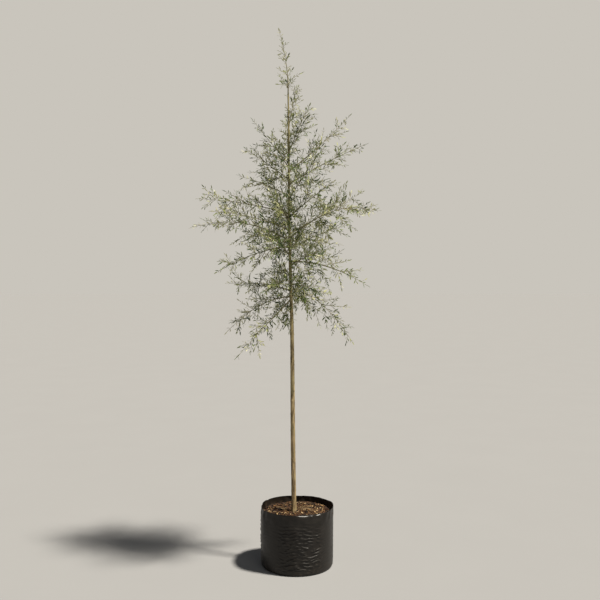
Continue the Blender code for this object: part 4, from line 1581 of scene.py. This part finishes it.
def stage_floor():
    """A wide flat floor."""
    rings = np.geomspace(FLOOR_MIDDLE, FLOOR_RADIUS, FLOOR_RINGS)[:, None]
    angle = np.linspace(0.0, 2.0 * math.pi, FLOOR_SIDES, endpoint=False)[None, :]
    x, y = rings * np.cos(angle), rings * np.sin(angle)
    points = np.stack((x, y, 0.0 * x), axis=2).reshape(-1, 3)
    points = np.concatenate((points, np.zeros((1, 3))))
    faces = ring_faces(FLOOR_RINGS, FLOOR_SIDES)[:, ::-1].tolist()
    faces += fan_faces(len(points) - 1, 0, FLOOR_SIDES).tolist()
    mesh = bpy.data.meshes.new("floor")
    mesh.from_pydata(points.tolist(), [], faces)
    mesh.materials.append(pale_floor())
    placed("floor", mesh)


def picture_tone():
    """Plain colours, with no tone curve over them."""
    bpy.context.scene.view_settings.view_transform = "Standard"


def studio_world():
    """An even pale backdrop that lights the scene more softly than it shows."""
    world = bpy.data.worlds.new("studio")
    world.use_nodes = True
    nodes, links = world.node_tree.nodes, world.node_tree.links
    lit = nodes["Background"]
    lit.inputs["Color"].default_value = (*SKY_COLOUR, 1.0)
    lit.inputs["Strength"].default_value = SKY_STRENGTH
    seen = nodes.new("ShaderNodeBackground")
    seen.inputs["Color"].default_value = (*BACKDROP_COLOUR, 1.0)
    path = nodes.new("ShaderNodeLightPath")
    both = nodes.new("ShaderNodeMixShader")
    links.new(path.outputs["Is Camera Ray"], both.inputs[0])
    links.new(lit.outputs[0], both.inputs[1])
    links.new(seen.outputs[0], both.inputs[2])
    links.new(both.outputs[0], nodes["World Output"].inputs["Surface"])
    bpy.context.scene.world = world


def far_light(light):
    """A broad light from far off."""
    data = bpy.data.lights.new(light.name, "SUN")
    data.energy = light.strength
    data.angle = math.radians(light.softness)
    data.color = light.colour
    made = placed(light.name, data)
    side, rise = math.radians(light.bearing), math.radians(light.height)
    level = math.cos(rise)
    towards = Vector((level * math.cos(side), level * math.sin(side), math.sin(rise)))
    made.rotation_euler = towards.to_track_quat("Z", "Y").to_euler()
    made.location = towards * LIGHT_DISTANCE


def stage():
    """A plain pale floor and backdrop, with soft light that is strongest from the right."""
    picture_tone()
    stage_floor()
    studio_world()
    for light in LIGHTS:
        far_light(light)


def camera():
    """It looks level at the tree's front."""
    data = bpy.data.cameras.new("camera")
    data.lens = CAMERA_LENS
    data.shift_y = CAMERA_SHIFT
    made = placed("camera", data)
    made.location = CAMERA_PLACE
    made.rotation_euler = (math.pi / 2.0, 0.0, 0.0)
    bpy.context.scene.camera = made


def main():
    camera()
    stage()
    grow_bag(black_film(), dusty_film())
    mix_surface(moist_mix())
    bark_chips()
    coir_fibres()
    crown()


main()
